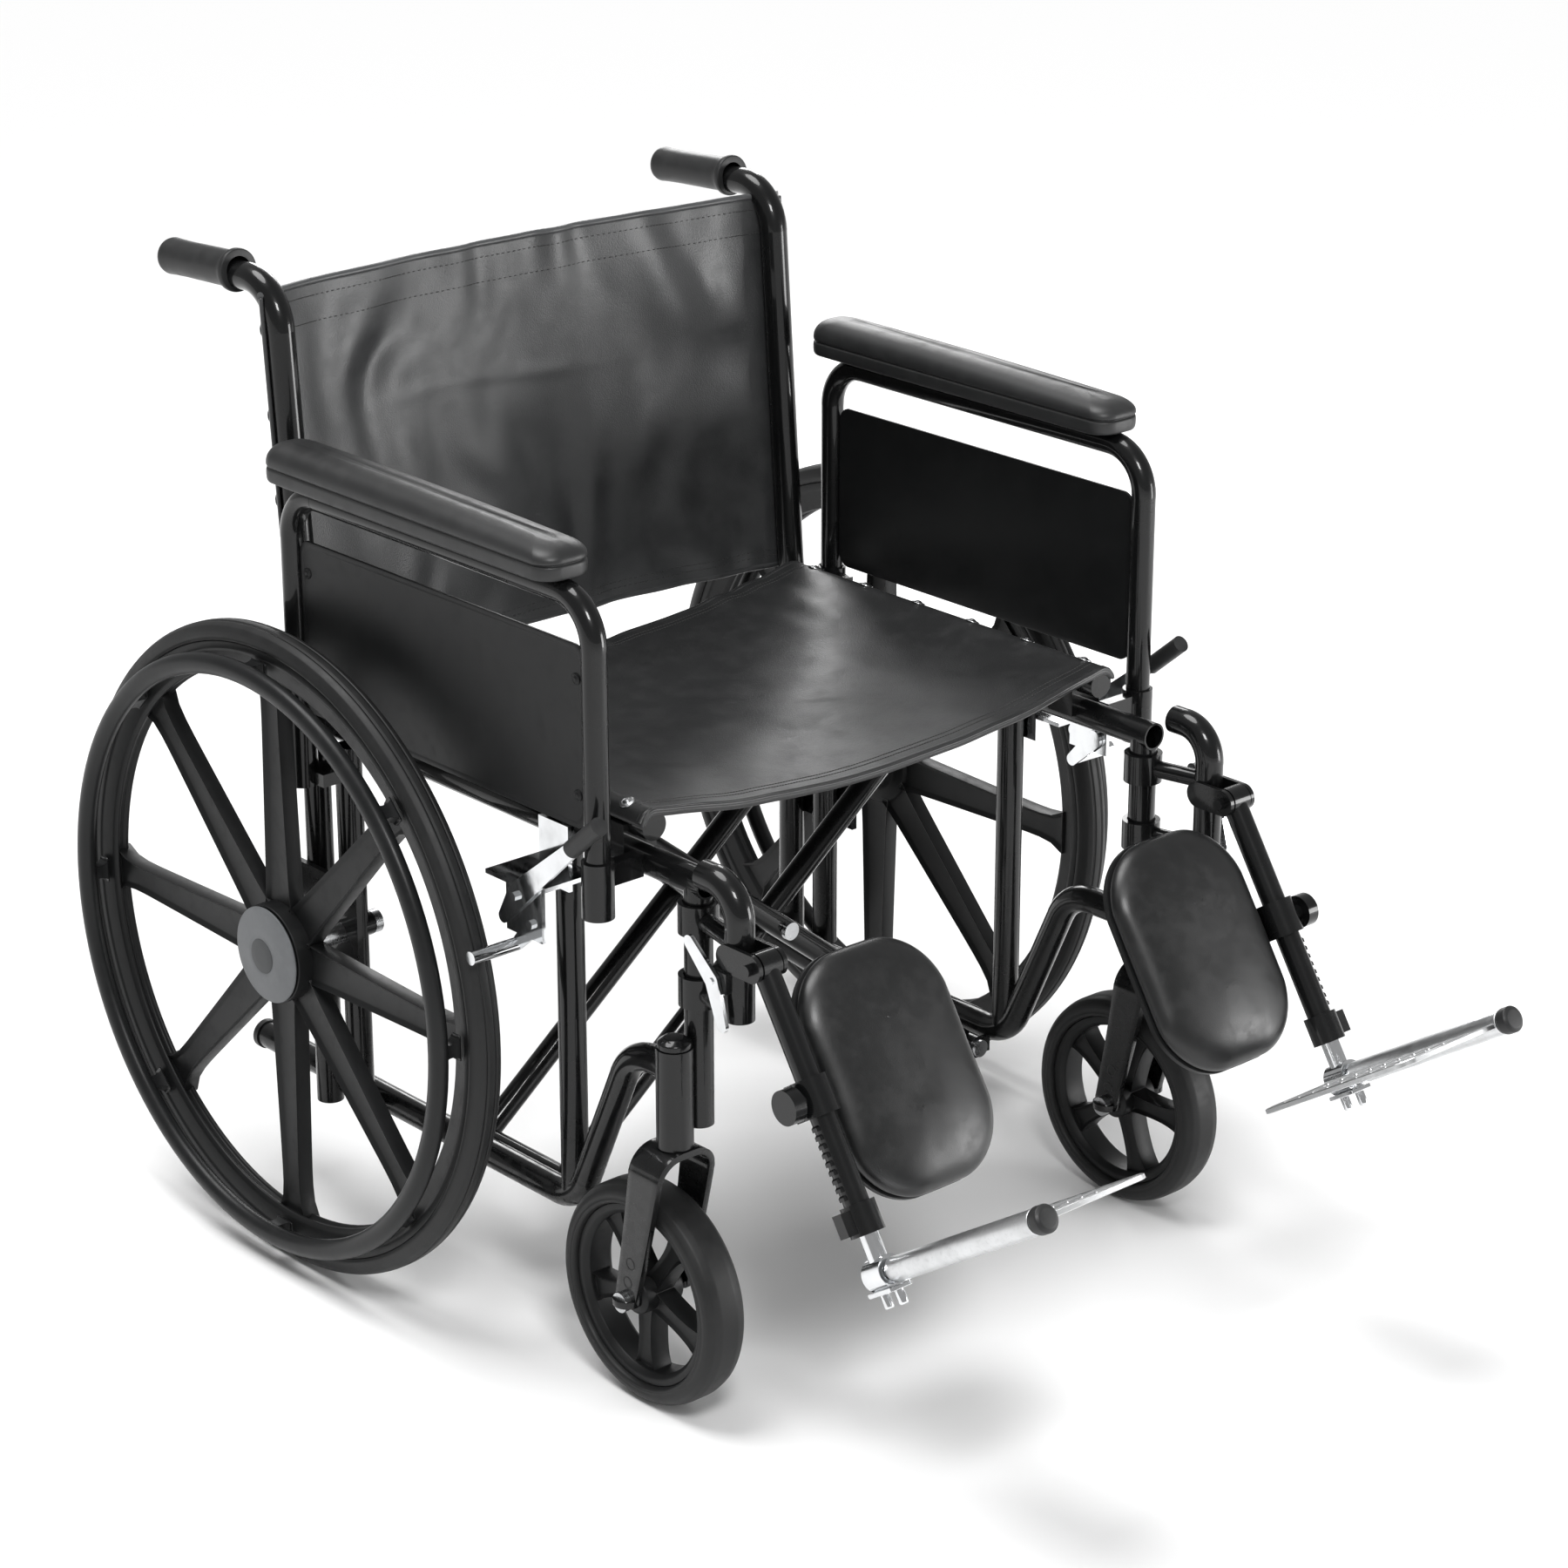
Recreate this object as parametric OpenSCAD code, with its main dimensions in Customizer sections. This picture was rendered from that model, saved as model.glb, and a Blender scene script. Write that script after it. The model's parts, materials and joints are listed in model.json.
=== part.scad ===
// Folding manual wheelchair with a double cross brace, lift-off arms and elevating legrests.
// Millimetres. X runs across the chair and the sitter's left is +X, the chair faces -Y, Z is up.

/* [Seat and back] */
// Distance between the centre lines of the two side frames
frame_w = 532; // [460:2:640]
// Height of the seat rail centre lines above the floor
seat_rail_z = 514; // [500:1:540]
// Length of the seat rails, front to back
seat_depth = 428; // [400:1:440]
// Thickness of the seat and back upholstery
sling_t = 6; // [3:0.5:10]
// Depth that the seat hangs below its rails in the middle
seat_sag = 26; // [0:1:40]
// Depth that the back bellies to the rear in the middle
back_sag = 42; // [0:1:60]
// Height of the back upholstery along the posts
back_h = 364; // [280:1:380]

/* [Side frame] */
// Outer diameter of the frame tubes
tube_d = 25.4; // [22:0.1:28]
// Wall of the frame tubes
tube_wall = 1.8; // [1.2:0.1:2.6]
// Depth that welded tubes run into each other
weld = 1.2; // [0.6:0.1:2]
// How much thinner in radius the inner posts are than the rails they are welded to
post_slim = 0.3; // [0.2:0.1:1]
// Height of the top rail centre line
top_rail_z = 482; // [470:1:490]
// Height of the bottom rail centre line
low_rail_z = 128; // [118:1:150]
// Distance of the back post behind the rear axle
back_post_y = 50; // [46:1:60]
// Distance of the middle post ahead of the rear axle
mid_post_y = 285; // [270:1:300]
// Distance of the front post ahead of the rear axle
front_post_y = 455; // [435:1:480]
// Lower end of the front post
front_post_z = 262; // [255:1:280]
// Rise of the bottom rail where it turns into the front post
rail_kick_z = 300; // [290:1:315]
// Centre line radius of the frame bends
frame_bend = 44; // [36:1:50]
// Length of the tipping lever behind the rear axle
tip_lever = 184; // [150:1:220]
// Height at which the back posts start to lean
lean_z = 505; // [495:1:520]
// Backward lean of the back posts
lean = 4.4; // [0:0.1:8]
// Height of the push handles
handle_z = 892; // [860:1:930]
// Reach of the push handles behind the back posts
handle_reach = 160; // [140:1:190]
// Outer diameter of the hand grips
grip_d = 34; // [30:1:40]
// Length of the hand grips
grip_l = 104; // [90:1:115]

/* [Cross brace] */
// Diameter of the brace bars
brace_d = 22; // [18:0.5:25]
// Height of the lower hinges
brace_hinge_z = 118; // [110:1:130]
// Distance of the lower hinges inside the side frame
brace_hinge_in = 28; // [26:1:34]
// Distance of the front cross ahead of the rear axle
cross_front_y = 246; // [236:1:256]
// Distance between the front and the rear cross
cross_pitch = 118; // [100:1:140]
// Gap between two bars that cross
cross_gap = 2; // [1:0.5:4]
// Diameter of the brace bolts and hinge pins
brace_pin_d = 10; // [8:0.5:12]

/* [Rear wheels] */
// Outer diameter of the rear wheels
rear_d = 610; // [580:2:620]
// Width of the rear tyres
rear_tyre_w = 30; // [25:1:34]
// Depth of the rear tyre section
rear_tyre_h = 17; // [14:1:22]
// Depth of the rear rims
rear_rim_h = 27; // [20:1:34]
// Number of spokes in each rear wheel
rear_spokes = 8; // [6:1:10]
// Distance of the rear wheel centre planes outside the side frames
rear_track = 103; // [99:1:112]
// Diameter of the rear hubs
rear_hub_d = 92; // [70:1:104]
// Width of the rear hubs
rear_hub_w = 26; // [22:1:30]
// Depth of the hub recess that holds the axle nut and the hub cap
hub_recess = 12; // [10:1:16]
// Diameter of the rear axles
rear_axle_d = 12.7; // [11:0.1:14]
// Diameter of the handrim centre line
handrim_d = 545; // [500:1:550]
// Diameter of the handrim tube
handrim_tube = 19; // [16:0.5:22]
// Distance of the handrims outside the wheel centre planes
handrim_out = 32; // [29:1:40]

/* [Casters] */
// Outer diameter of the casters
caster_d = 203; // [180:1:205]
// Width of the caster tyres
caster_w = 44; // [32:1:48]
// Depth of the caster tyre section
caster_tyre_h = 19; // [14:1:24]
// Number of spokes in each caster
caster_spokes = 5; // [5:1:7]
// Distance of the caster axle behind the swivel axis
trail = 31; // [25:1:40]
// Outer diameter of the swivel housings
housing_d = 32; // [30:0.5:36]
// Lower end of the swivel housings
housing_z = 250; // [246:1:256]
// Length of the swivel housings
housing_l = 90; // [80:1:95]
// Diameter of the swivel stems
stem_d = 16; // [12:0.5:18]
// Diameter of the caster axles
caster_axle_d = 10; // [8:0.5:12]
// Thickness of the fork legs
fork_t = 6; // [4:0.5:8]

/* [Arms] */
// Distance of the arms outside the side frames
arm_out = 56; // [54:1:64]
// Distance of the rear arm posts behind the rear axle
arm_rear_y = 26; // [20:1:28]
// Distance of the front arm posts ahead of the rear axle
arm_front_y = 393; // [380:1:400]
// Height of the arm tops, tube centre line
arm_z = 722; // [680:1:750]
// Diameter of the arm tubes
arm_d = 22; // [19:0.5:24]
// Lower end of the arm posts
arm_low_z = 446; // [440:1:452]
// Length of the arm pads
arm_pad_l = 404; // [340:1:420]
// Width of the arm pads
arm_pad_w = 56; // [44:1:64]
// Thickness of the arm pads
arm_pad_t = 36; // [25:1:45]
// Height of the side panels
panel_h = 162; // [140:1:164]
// Thickness of the side panels
panel_t = 3; // [2:0.5:4]

/* [Legrests] */
// Distance of the legrests outside the side frames
leg_out = 14; // [10:1:18]
// Distance of the hanger tubes ahead of the front posts
hanger_y = 68; // [62:1:76]
// Height of the hanger tops
hanger_z = 499; // [495:1:505]
// Distance of the leg pivots ahead of the hanger tubes
leg_pivot_y = 30; // [28:1:36]
// Height of the leg pivots
leg_pivot_z = 442; // [430:1:450]
// Tilt of the leg tubes from upright
leg_tilt = 33; // [20:1:40]
// Length of the leg tubes below their pivots
leg_l = 232; // [215:1:236]
// Diameter of the leg tubes
leg_d = 22; // [20:0.5:24]
// Distance of the footplates below the leg pivots, along the leg
foot_drop = 266; // [262:1:290]
// Diameter of the footplate extension tubes
ext_d = 17; // [14:0.5:17.5]
// Length of the footplates, heel to toe
foot_l = 188; // [150:1:210]
// Width of the footplates
foot_w = 128; // [100:1:150]
// Thickness of the footplates
foot_t = 5; // [4:0.5:8]
// Width of the calf pads
calf_w = 160; // [130:1:162]
// Height of the calf pads
calf_h = 214; // [180:1:216]
// Thickness of the calf pads
calf_t = 34; // [24:1:40]

/* [Fits] */
// Gap between parts that move past each other
gap = 0.4; // [0.3:0.05:0.8]
// Gap between a fixed part and its seat
seat_gap = 0.3; // [0.2:0.05:0.5]
// Radial running clearance of pins, stems and sliding tubes
run = 0.06; // [0.03:0.01:0.1]

/* [Hidden] */
SIDES = ["right", "left"];
$fn = 64;

tube_r = tube_d / 2;
brace_r = brace_d / 2;
pin_r = brace_pin_d / 2;
arm_r = arm_d / 2;
leg_r = leg_d / 2;
ext_r = ext_d / 2;

frame_x = frame_w / 2;
post_x = frame_x + tube_d - weld;
hinge_x = frame_x - brace_hinge_in;
wheel_x = frame_x + rear_track;
handrim_x = wheel_x + handrim_out;
swivel_x = frame_x + tube_r + housing_d / 2 - weld;
arm_x = frame_x + arm_out;
leg_x = frame_x + leg_out;

// The toe stop is the foremost point and the rear tyre the rearmost, and the middle is at y = 0.
toe_r = 11;
toe_t = 9;
toe_s = foot_l + 18;
toe_reach = front_post_y + hanger_y + leg_pivot_y + foot_drop * sin(leg_tilt)
    + (toe_s + toe_t) * cos(leg_tilt) + toe_r * sin(leg_tilt);
axle_y = (toe_reach - rear_d / 2) / 2;
axle_z = rear_d / 2;

post_y = axle_y + back_post_y;
mid_y = axle_y - mid_post_y;
front_y = axle_y - front_post_y;
lean_top_z = handle_z;
lean_top_y = post_y + (lean_top_z - lean_z) * tan(lean);
handle_y = post_y + handle_reach + (lean_top_z - lean_z) * tan(lean);
handle_drop = 8;
caster_y = front_y + trail;
caster_z = caster_d / 2;

arm_y0 = axle_y - arm_front_y;
arm_y1 = axle_y + arm_rear_y;
rail_y0 = post_y - tube_r - 9 - seat_depth;
rail_y1 = rail_y0 + seat_depth;
saddle_ys = [rail_y0 + 34, rail_y1 - 70];

hang_y = front_y - hanger_y;
pivot_y = hang_y - leg_pivot_y;

cross_y = axle_y - cross_front_y;
cross_ys = [cross_y, cross_y + cross_pitch];
cross_off = brace_r + cross_gap / 2;
sleeve_y0 = cross_y - cross_off - brace_r - 2;
sleeve_y1 = cross_y + cross_pitch + cross_off + brace_r + 2;
lug_t = 5;
cross_z = brace_hinge_z + hinge_x * (seat_rail_z - brace_hinge_z) / (hinge_x + frame_x);

paint = "#17171a";
rubber = "#26262a";
vinyl = "#1c1c1f";
plastic = "#303036";
chrome = "#d8dade";
alloy = "#b4b8bd";

// ---- shared shapes ----

function unit(v) = v / norm(v);
function turn(a, b, c) = acos(unit(b - a) * unit(c - b));
function cut(a, b, c, bend) = bend * tan(turn(a, b, c) / 2);

// Draws the left side as written and the right side mirrored
module side(s) {
    if (s > 0) children();
    else mirror([1, 0, 0]) children();
}

// A round bar from a to b
module bar(a, b, r) {
    v = b - a;
    translate(a) rotate([0, acos(v.z / norm(v)), atan2(v.y, v.x)]) cylinder(h = norm(v), r = r);
}

// The bend at b of a tube that comes from a and goes on to c, a skin thicker and longer to overlap it
lap = 0.4;
skin = 0.15;
module elbow(a, b, c, r, bend) {
    u = unit(b - a);
    w = unit(c - b);
    m = unit(w - u * (u * w));
    z = cross(-m, u);
    o = b - u * cut(a, b, c, bend) + m * bend;
    multmatrix([[-m.x, u.x, z.x, o.x], [-m.y, u.y, z.y, o.y], [-m.z, u.z, z.z, o.z], [0, 0, 0, 1]])
        rotate([0, 0, -lap]) rotate_extrude(angle = turn(a, b, c) + 2 * lap)
            translate([bend, 0]) circle(r + skin);
}

// A tube along the points p, bent at each inner one
module pipe(p, r, bend) {
    last = len(p) - 1;
    for (i = [0 : last - 1]) {
        trim0 = i == 0 ? 0 : cut(p[i - 1], p[i], p[i + 1], bend);
        trim1 = i == last - 1 ? 0 : cut(p[i], p[i + 1], p[i + 2], bend);
        u = unit(p[i + 1] - p[i]);
        bar(p[i] + u * trim0, p[i + 1] - u * trim1, r);
    }
    for (i = [1 : 1 : last - 1]) elbow(p[i - 1], p[i], p[i + 1], r, bend);
}

// A cylinder along X, centred on its own point
module x_rod(r, l) rotate([0, 90, 0]) cylinder(h = l, r = r, center = true);

// A cylinder along Y, centred on its own point
module y_rod(r, l) rotate([90, 0, 0]) cylinder(h = l, r = r, center = true);

// A ring about X
module x_ring(r_out, r_in, l) rotate([0, 90, 0]) difference() {
    cylinder(h = l, r = r_out, center = true);
    cylinder(h = l + 2, r = r_in, center = true);
}

// A plate of thickness t across X, drawn as (y, z)
module x_plate(t) rotate([90, 0, 90]) linear_extrude(t, center = true) children();

// ---- side frames ----

// The tubes of one frame at radius r, with their open ends run out by over
module frame_tubes(r, over = 0) {
    post_r = r - post_slim;
    pipe([[post_x, post_y, low_rail_z - tube_r - over], [post_x, post_y, lean_z],
          [post_x, lean_top_y, lean_top_z], [post_x, handle_y + over, handle_z - handle_drop]], r, frame_bend);
    bar([post_x, axle_y, low_rail_z], [post_x, axle_y, top_rail_z], post_r);
    bar([frame_x, post_y + tube_r + over, top_rail_z], [frame_x, front_y - tube_r - over, top_rail_z], r);
    pipe([[frame_x, axle_y + tip_lever + over, low_rail_z], [frame_x, mid_y - 5, low_rail_z],
          [frame_x, front_y + 87, rail_kick_z], [frame_x, front_y, rail_kick_z]], r, frame_bend);
    bar([frame_x, mid_y, low_rail_z], [frame_x, mid_y, top_rail_z], post_r);
    bar([frame_x, front_y, front_post_z - over], [frame_x, front_y, top_rail_z], post_r);
}

socket_r = arm_r + 3;
socket_l = 50;
rear_socket_l = 68;

// Sockets that the arm posts drop into, with the plates that carry them
module arm_sockets() {
    translate([arm_x, arm_y0, arm_low_z]) cylinder(h = socket_l, r = socket_r);
    translate([frame_x + tube_r - weld, arm_y0 - 6, top_rail_z - 10])
        cube([arm_out - tube_r - arm_r, 12, 20]);
    translate([arm_x, arm_y1, arm_low_z]) cylinder(h = rear_socket_l, r = socket_r);
    for (z = [arm_low_z + 4, arm_low_z + rear_socket_l - 16])
        translate([post_x, axle_y - 5, z]) cube([arm_out - tube_d + weld, arm_rear_y + 5, 12]);
}

plate_t = 6;
sleeve_r = rear_axle_d / 2 + 5;

module axle_mount() {
    translate([post_x + tube_r - weld, axle_y - 28, axle_z - 52])
        cube([plate_t, back_post_y + 44, 104]);
    translate([post_x, axle_y, axle_z]) x_rod(sleeve_r, tube_d + 6);
}

module brace_lugs() {
    for (y = [sleeve_y0 - gap - lug_t, sleeve_y1 + gap]) translate([0, y, 0]) {
        translate([hinge_x, lug_t / 2, brace_hinge_z]) y_rod(pin_r + 6, lug_t);
        translate([hinge_x, 0, brace_hinge_z - 8])
            cube([brace_hinge_in - tube_r + weld, lug_t, 16]);
    }
}

module side_frame(s) side(s) color(paint) difference() {
    union() {
        difference() {
            union() {
                frame_tubes(tube_r);
                translate([swivel_x, front_y, housing_z]) cylinder(h = housing_l, r = housing_d / 2);
            }
            frame_tubes(tube_r - tube_wall, 1);
        }
        translate([swivel_x, front_y, housing_z]) cylinder(h = housing_l, r = housing_d / 2 - 1);
        arm_sockets();
        axle_mount();
        brace_lugs();
        for (y = saddle_ys) translate([frame_x, y, 0]) saddle();
    }
    translate([swivel_x, front_y, housing_z - 1]) cylinder(h = housing_l + 2, r = stem_d / 2 + run);
    translate([arm_x, arm_y0, arm_low_z - 1]) cylinder(h = socket_l + 2, r = arm_r + run);
    translate([arm_x, arm_y1, arm_low_z - 1]) cylinder(h = rear_socket_l + 2, r = arm_r + run);
    translate([post_x, axle_y, axle_z]) x_rod(rear_axle_d / 2, 80);
    for (y = [sleeve_y0 - gap - lug_t / 2, sleeve_y1 + gap + lug_t / 2])
        translate([hinge_x, y, brace_hinge_z]) y_rod(pin_r + run, lug_t + 2);
}

saddle_l = 30;
saddle_w = tube_d + 10;

// The guide that the seat rail drops into, moulded round the top rail
module saddle() difference() {
    translate([-saddle_w / 2, -saddle_l / 2, top_rail_z])
        cube([saddle_w, saddle_l, seat_rail_z - top_rail_z]);
    translate([0, 0, seat_rail_z]) y_rod(tube_r + seat_gap, saddle_l + 2);
    translate([0, 0, top_rail_z]) y_rod(tube_r - tube_wall / 2, saddle_l + 2);
}

module frame_cap(s) side(s) color(rubber)
    translate([frame_x, axle_y + tip_lever + 3, low_rail_z]) {
        y_rod(tube_r + 1.5, 6);
        translate([0, -12, 0]) y_rod(tube_r - tube_wall - run, 20);
    }

// Frame of the push handle: its own Y runs back along the handle tube
handle_a = atan2(handle_drop, handle_reach);
module handle_frame()
    translate([post_x, handle_y, handle_z - handle_drop]) rotate([-handle_a, 0, 0]) children();

module push_grip(s) side(s) color(rubber) handle_frame() difference() {
    union() {
        translate([0, 5 - grip_l / 2, 0]) y_rod(grip_d / 2, grip_l);
        translate([0, 5 - grip_l, 0]) y_rod(grip_d / 2 + 3, 7);
    }
    translate([0, -grip_l / 2 - 2, 0]) y_rod(tube_r + run, grip_l + 4);
}

// ---- upholstery ----

function sling(x, w, sag) = sag * (1 - pow(x / w, 2));
curve_steps = 10;

// Half a hanging sheet: a parabola out to w, flat from there to edge, t thick
module half_sling(w, edge, sag, t) {
    inner = [for (i = [0 : curve_steps]) seat_gap / 2 + (w - seat_gap / 2) * i / curve_steps];
    xs = edge > w ? concat(inner, [edge]) : inner;
    under = [for (x = xs) [x, -sling(min(x, w), w, sag)]];
    over = [for (i = [len(xs) - 1 : -1 : 0]) under[i] + [0, t]];
    polygon(concat(under, over));
}

seat_edge = frame_x + tube_r;
module seat(s) side(s) color(vinyl)
    translate([0, rail_y1 - 2, seat_rail_z + tube_r + seat_gap]) rotate([90, 0, 0])
        linear_extrude(seat_depth) half_sling(frame_x, seat_edge, seat_sag, sling_t);

back_edge = post_x - tube_r - seat_gap;
module back(s) side(s) color(vinyl)
    translate([0, post_y, lean_z]) rotate([-lean, 0, 0]) translate([0, 0, 12])
        mirror([0, 1, 0]) linear_extrude(back_h)
            translate([0, -sling_t / 2]) half_sling(back_edge, back_edge, back_sag, sling_t);

// ---- cross brace ----

// One arm of the cross: it hinges on the side at x = -1 and carries the seat rail of the other side
module brace(s, off) {
    foot = [-hinge_x, 0, brace_hinge_z];
    head = [frame_x, 0, seat_rail_z];
    u = unit(head - foot);
    side(s) color(paint) difference() {
        union() {
            for (y = cross_ys) bar(foot + [0, y + off, 0], head + [0, y + off, 0], brace_r);
            translate([foot.x, (sleeve_y0 + sleeve_y1) / 2, foot.z]) y_rod(brace_r, sleeve_y1 - sleeve_y0);
            translate([head.x, (rail_y0 + rail_y1) / 2, head.z]) y_rod(tube_r, seat_depth);
        }
        for (y = cross_ys)
            bar(foot + u * 20 + [0, y + off, 0], head - u * 16 + [0, y + off, 0], brace_r - 2);
        translate([head.x, (rail_y0 + rail_y1) / 2, head.z]) y_rod(tube_r - tube_wall, seat_depth - 8);
        translate([foot.x, (sleeve_y0 + sleeve_y1) / 2, foot.z]) y_rod(pin_r + run, sleeve_y1 - sleeve_y0 + 2);
        for (y = cross_ys) translate([0, y + off, cross_z]) y_rod(pin_r + run, brace_d + 2);
    }
}
module brace_a() brace(1, cross_off);
module brace_b() brace(-1, -cross_off);

pin_head_r = 8.5;
pin_head_t = 5;

// A pin along Y from y0 to y1 with a head at each end
module headed_pin(x, y0, y1, z) translate([x, 0, z]) {
    translate([0, (y0 + y1) / 2, 0]) y_rod(pin_r, y1 - y0 + 2 * pin_head_t - 1);
    translate([0, y0 - pin_head_t / 2, 0]) y_rod(pin_head_r, pin_head_t);
    translate([0, y1 + pin_head_t / 2, 0]) y_rod(pin_head_r, pin_head_t);
}

hinge_pin_y0 = sleeve_y0 - 2 * gap - lug_t;
hinge_pin_y1 = sleeve_y1 + 2 * gap + lug_t;
module brace_bolts() color(alloy) {
    reach = cross_off + brace_r + gap;
    for (y = cross_ys) {
        headed_pin(0, y - reach, y + reach, cross_z);
        translate([0, y, cross_z]) y_rod(pin_head_r, cross_gap / 2);
    }
    headed_pin(-hinge_x, hinge_pin_y0, hinge_pin_y1, brace_hinge_z);
}
module left_brace_pin() color(alloy) headed_pin(hinge_x, hinge_pin_y0, hinge_pin_y1, brace_hinge_z);

// ---- rear wheels ----

axle_r = rear_axle_d / 2;
hub_x = wheel_x + (rear_tyre_w - rear_hub_w) / 2 - 9;
hub_face = hub_x + rear_hub_w / 2;
hub_wall = 5;
nut_t = 8;
rim_r = rear_d / 2 - rear_tyre_h;
rim_in = rim_r - rear_rim_h;

// An axle bolt: head inside the post, spacer up to the hub and nut in the hub's recess
module rear_axle(s) side(s) color(alloy) translate([0, axle_y, axle_z]) {
    x0 = post_x - tube_r - 4;
    x1 = hub_face + gap + nut_t + 1;
    x2 = post_x + tube_r - weld + plate_t;
    x3 = hub_x - rear_hub_w / 2 - gap;
    translate([(x0 + x1) / 2 - 1, 0, 0]) x_rod(axle_r, x1 - x0 + 2);
    translate([x0 - nut_t / 2, 0, 0]) x_rod(11, nut_t);
    translate([hub_face + gap + nut_t / 2, 0, 0]) rotate([0, 90, 0])
        cylinder(h = nut_t, r = 11, $fn = 6, center = true);
    translate([(x2 + x3) / 2, 0, 0]) x_rod(axle_r + 4, x3 - x2);
}

// A straight spoke with a raised rib, as wide at its root as its neighbours leave room for
module rear_spoke() {
    r0 = rear_hub_d / 2 - 6;
    r1 = rim_in + 3;
    root = (rear_hub_d / 2 - 2) * sin(180 / rear_spokes);
    x_plate(13) polygon([[-root, r0], [root, r0], [13, r1], [-13, r1]]);
    x_plate(21) polygon([[-5, r0], [5, r0], [4, r1], [-4, r1]]);
}

module rear_wheel(s) side(s) color(plastic) translate([0, axle_y, axle_z]) difference() {
    union() {
        translate([wheel_x, 0, 0]) x_ring(rim_r, rim_in, rear_tyre_w - 5);
        translate([hub_x, 0, 0]) x_rod(rear_hub_d / 2, rear_hub_w);
        translate([wheel_x - 4, 0, 0]) for (i = [0 : rear_spokes - 1])
            rotate([i * 360 / rear_spokes, 0, 0]) rear_spoke();
        translate([hub_face + hub_recess / 2 - 1, 0, 0])
            x_ring(rear_hub_d / 2, rear_hub_d / 2 - hub_wall, hub_recess + 2);
    }
    translate([hub_x, 0, 0]) x_rod(axle_r + run, rear_hub_w + 40);
    translate([hub_face + 15, 0, 0]) x_rod(rear_hub_d / 2 - hub_wall, 30);
}

module rear_tyre(s) side(s) color(rubber) translate([wheel_x, axle_y, axle_z]) rotate([0, 90, 0])
    rotate_extrude() difference() {
        translate([rear_d / 2 - rear_tyre_w / 2, 0]) circle(rear_tyre_w / 2);
        translate([0, -rear_tyre_w]) square([rim_r, 2 * rear_tyre_w]);
    }

module handrim(s) side(s) color(plastic) translate([0, axle_y, axle_z]) {
    face = wheel_x + (rear_tyre_w - 5) / 2;
    translate([handrim_x, 0, 0]) rotate([0, 90, 0])
        rotate_extrude() translate([handrim_d / 2, 0]) circle(handrim_tube / 2);
    for (i = [0 : rear_spokes - 1]) rotate([i * 360 / rear_spokes, 0, 0])
        translate([(face + handrim_x) / 2, 0, handrim_d / 2])
            cube([handrim_x - face, 26, handrim_tube - 5], center = true);
}

// The cap closes the hub's recess, with a skirt inside its wall
skirt_r = rear_hub_d / 2 - hub_wall - seat_gap;
module hub_cap(s) side(s) color(alloy)
    translate([hub_face + hub_recess, axle_y, axle_z]) rotate([0, 90, 0]) difference() {
        union() {
            cylinder(h = 3, r = rear_hub_d / 2 - 1);
            translate([0, 0, 3 - 0.01]) cylinder(h = 4, r1 = rear_hub_d / 2 - 1, r2 = rear_hub_d / 2 - 12, $fn = 96);
            translate([0, 0, -5]) cylinder(h = 6, r = skirt_r);
        }
        translate([0, 0, -6]) cylinder(h = 6, r = skirt_r - 3);
    }

// ---- casters ----

fork_in = caster_w / 2 + 4;
crown_z = housing_z - gap;
crown_t = 22;
leg_hole_pitch = 19;

// Draws in the frame of the swivel: x and y from its axis, z from the floor
module swivel_frame(s) side(s) translate([swivel_x, front_y, 0]) children();

module caster_fork(s) swivel_frame(s) color(paint) difference() {
    union() {
        translate([0, 0, crown_z - crown_t]) intersection() {
            cylinder(h = crown_t, r = fork_in + fork_t + 4);
            translate([-fork_in - fork_t, -20, 0]) cube([2 * (fork_in + fork_t), 46, crown_t]);
        }
        for (x = [-1, 1]) translate([x * (fork_in + fork_t / 2), 0, 0]) x_plate(fork_t) {
            polygon([[-18, crown_z - 2], [22, crown_z - 2], [trail + 13, caster_z + 2], [trail - 13, caster_z - 2]]);
            translate([trail, caster_z]) circle(13);
        }
        cylinder(h = housing_z + housing_l + 8, r = stem_d / 2);
        translate([0, 0, housing_z + housing_l + gap]) cylinder(h = 9, r = housing_d / 2 - 1);
    }
    translate([0, 0, -1]) cylinder(h = crown_z - crown_t + 2, r = stem_d / 2 + 1);
    for (i = [0 : 2]) translate([0, trail - i * 4, caster_z + i * leg_hole_pitch])
        x_rod(caster_axle_d / 2, 2 * (fork_in + fork_t) + 2);
}

module caster_axle(s) swivel_frame(s) color(alloy) translate([0, trail, caster_z]) {
    x_rod(caster_axle_d / 2, 2 * (fork_in + fork_t + 3));
    for (x = [-1, 1]) {
        translate([x * (fork_in + fork_t + 3), 0, 0]) x_rod(9, 6);
        translate([x * (fork_in - 1.1), 0, 0]) x_rod(8, 2.2);
    }
}

caster_rim_r = caster_d / 2 - caster_tyre_h;
caster_hub_l = 2 * (fork_in - 2.2 - gap);
module caster_wheel(s) swivel_frame(s) color(plastic) translate([0, trail, caster_z]) difference() {
    union() {
        x_ring(caster_rim_r, caster_rim_r - 11, caster_w - 10);
        x_rod(17, caster_hub_l);
        for (i = [0 : caster_spokes - 1]) rotate([i * 360 / caster_spokes, 0, 0])
            x_plate(caster_w - 22) polygon([[-9, 12], [9, 12], [6, caster_rim_r - 9], [-6, caster_rim_r - 9]]);
    }
    x_rod(caster_axle_d / 2 + run, caster_w + 20);
}

module caster_tyre(s) swivel_frame(s) color(rubber) translate([0, trail, caster_z]) rotate([0, 90, 0])
    rotate_extrude() difference() {
        union() {
            translate([caster_d / 2 - 12, -caster_w / 2 + 12]) square([12, caster_w - 24]);
            for (y = [-1, 1]) translate([caster_d / 2 - 12, y * (caster_w / 2 - 12)]) circle(12);
            translate([caster_d / 2 - caster_tyre_h, -caster_w / 2]) square([caster_tyre_h - 12, caster_w]);
        }
        translate([0, -caster_w]) square([caster_rim_r, 2 * caster_w]);
    }

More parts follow.
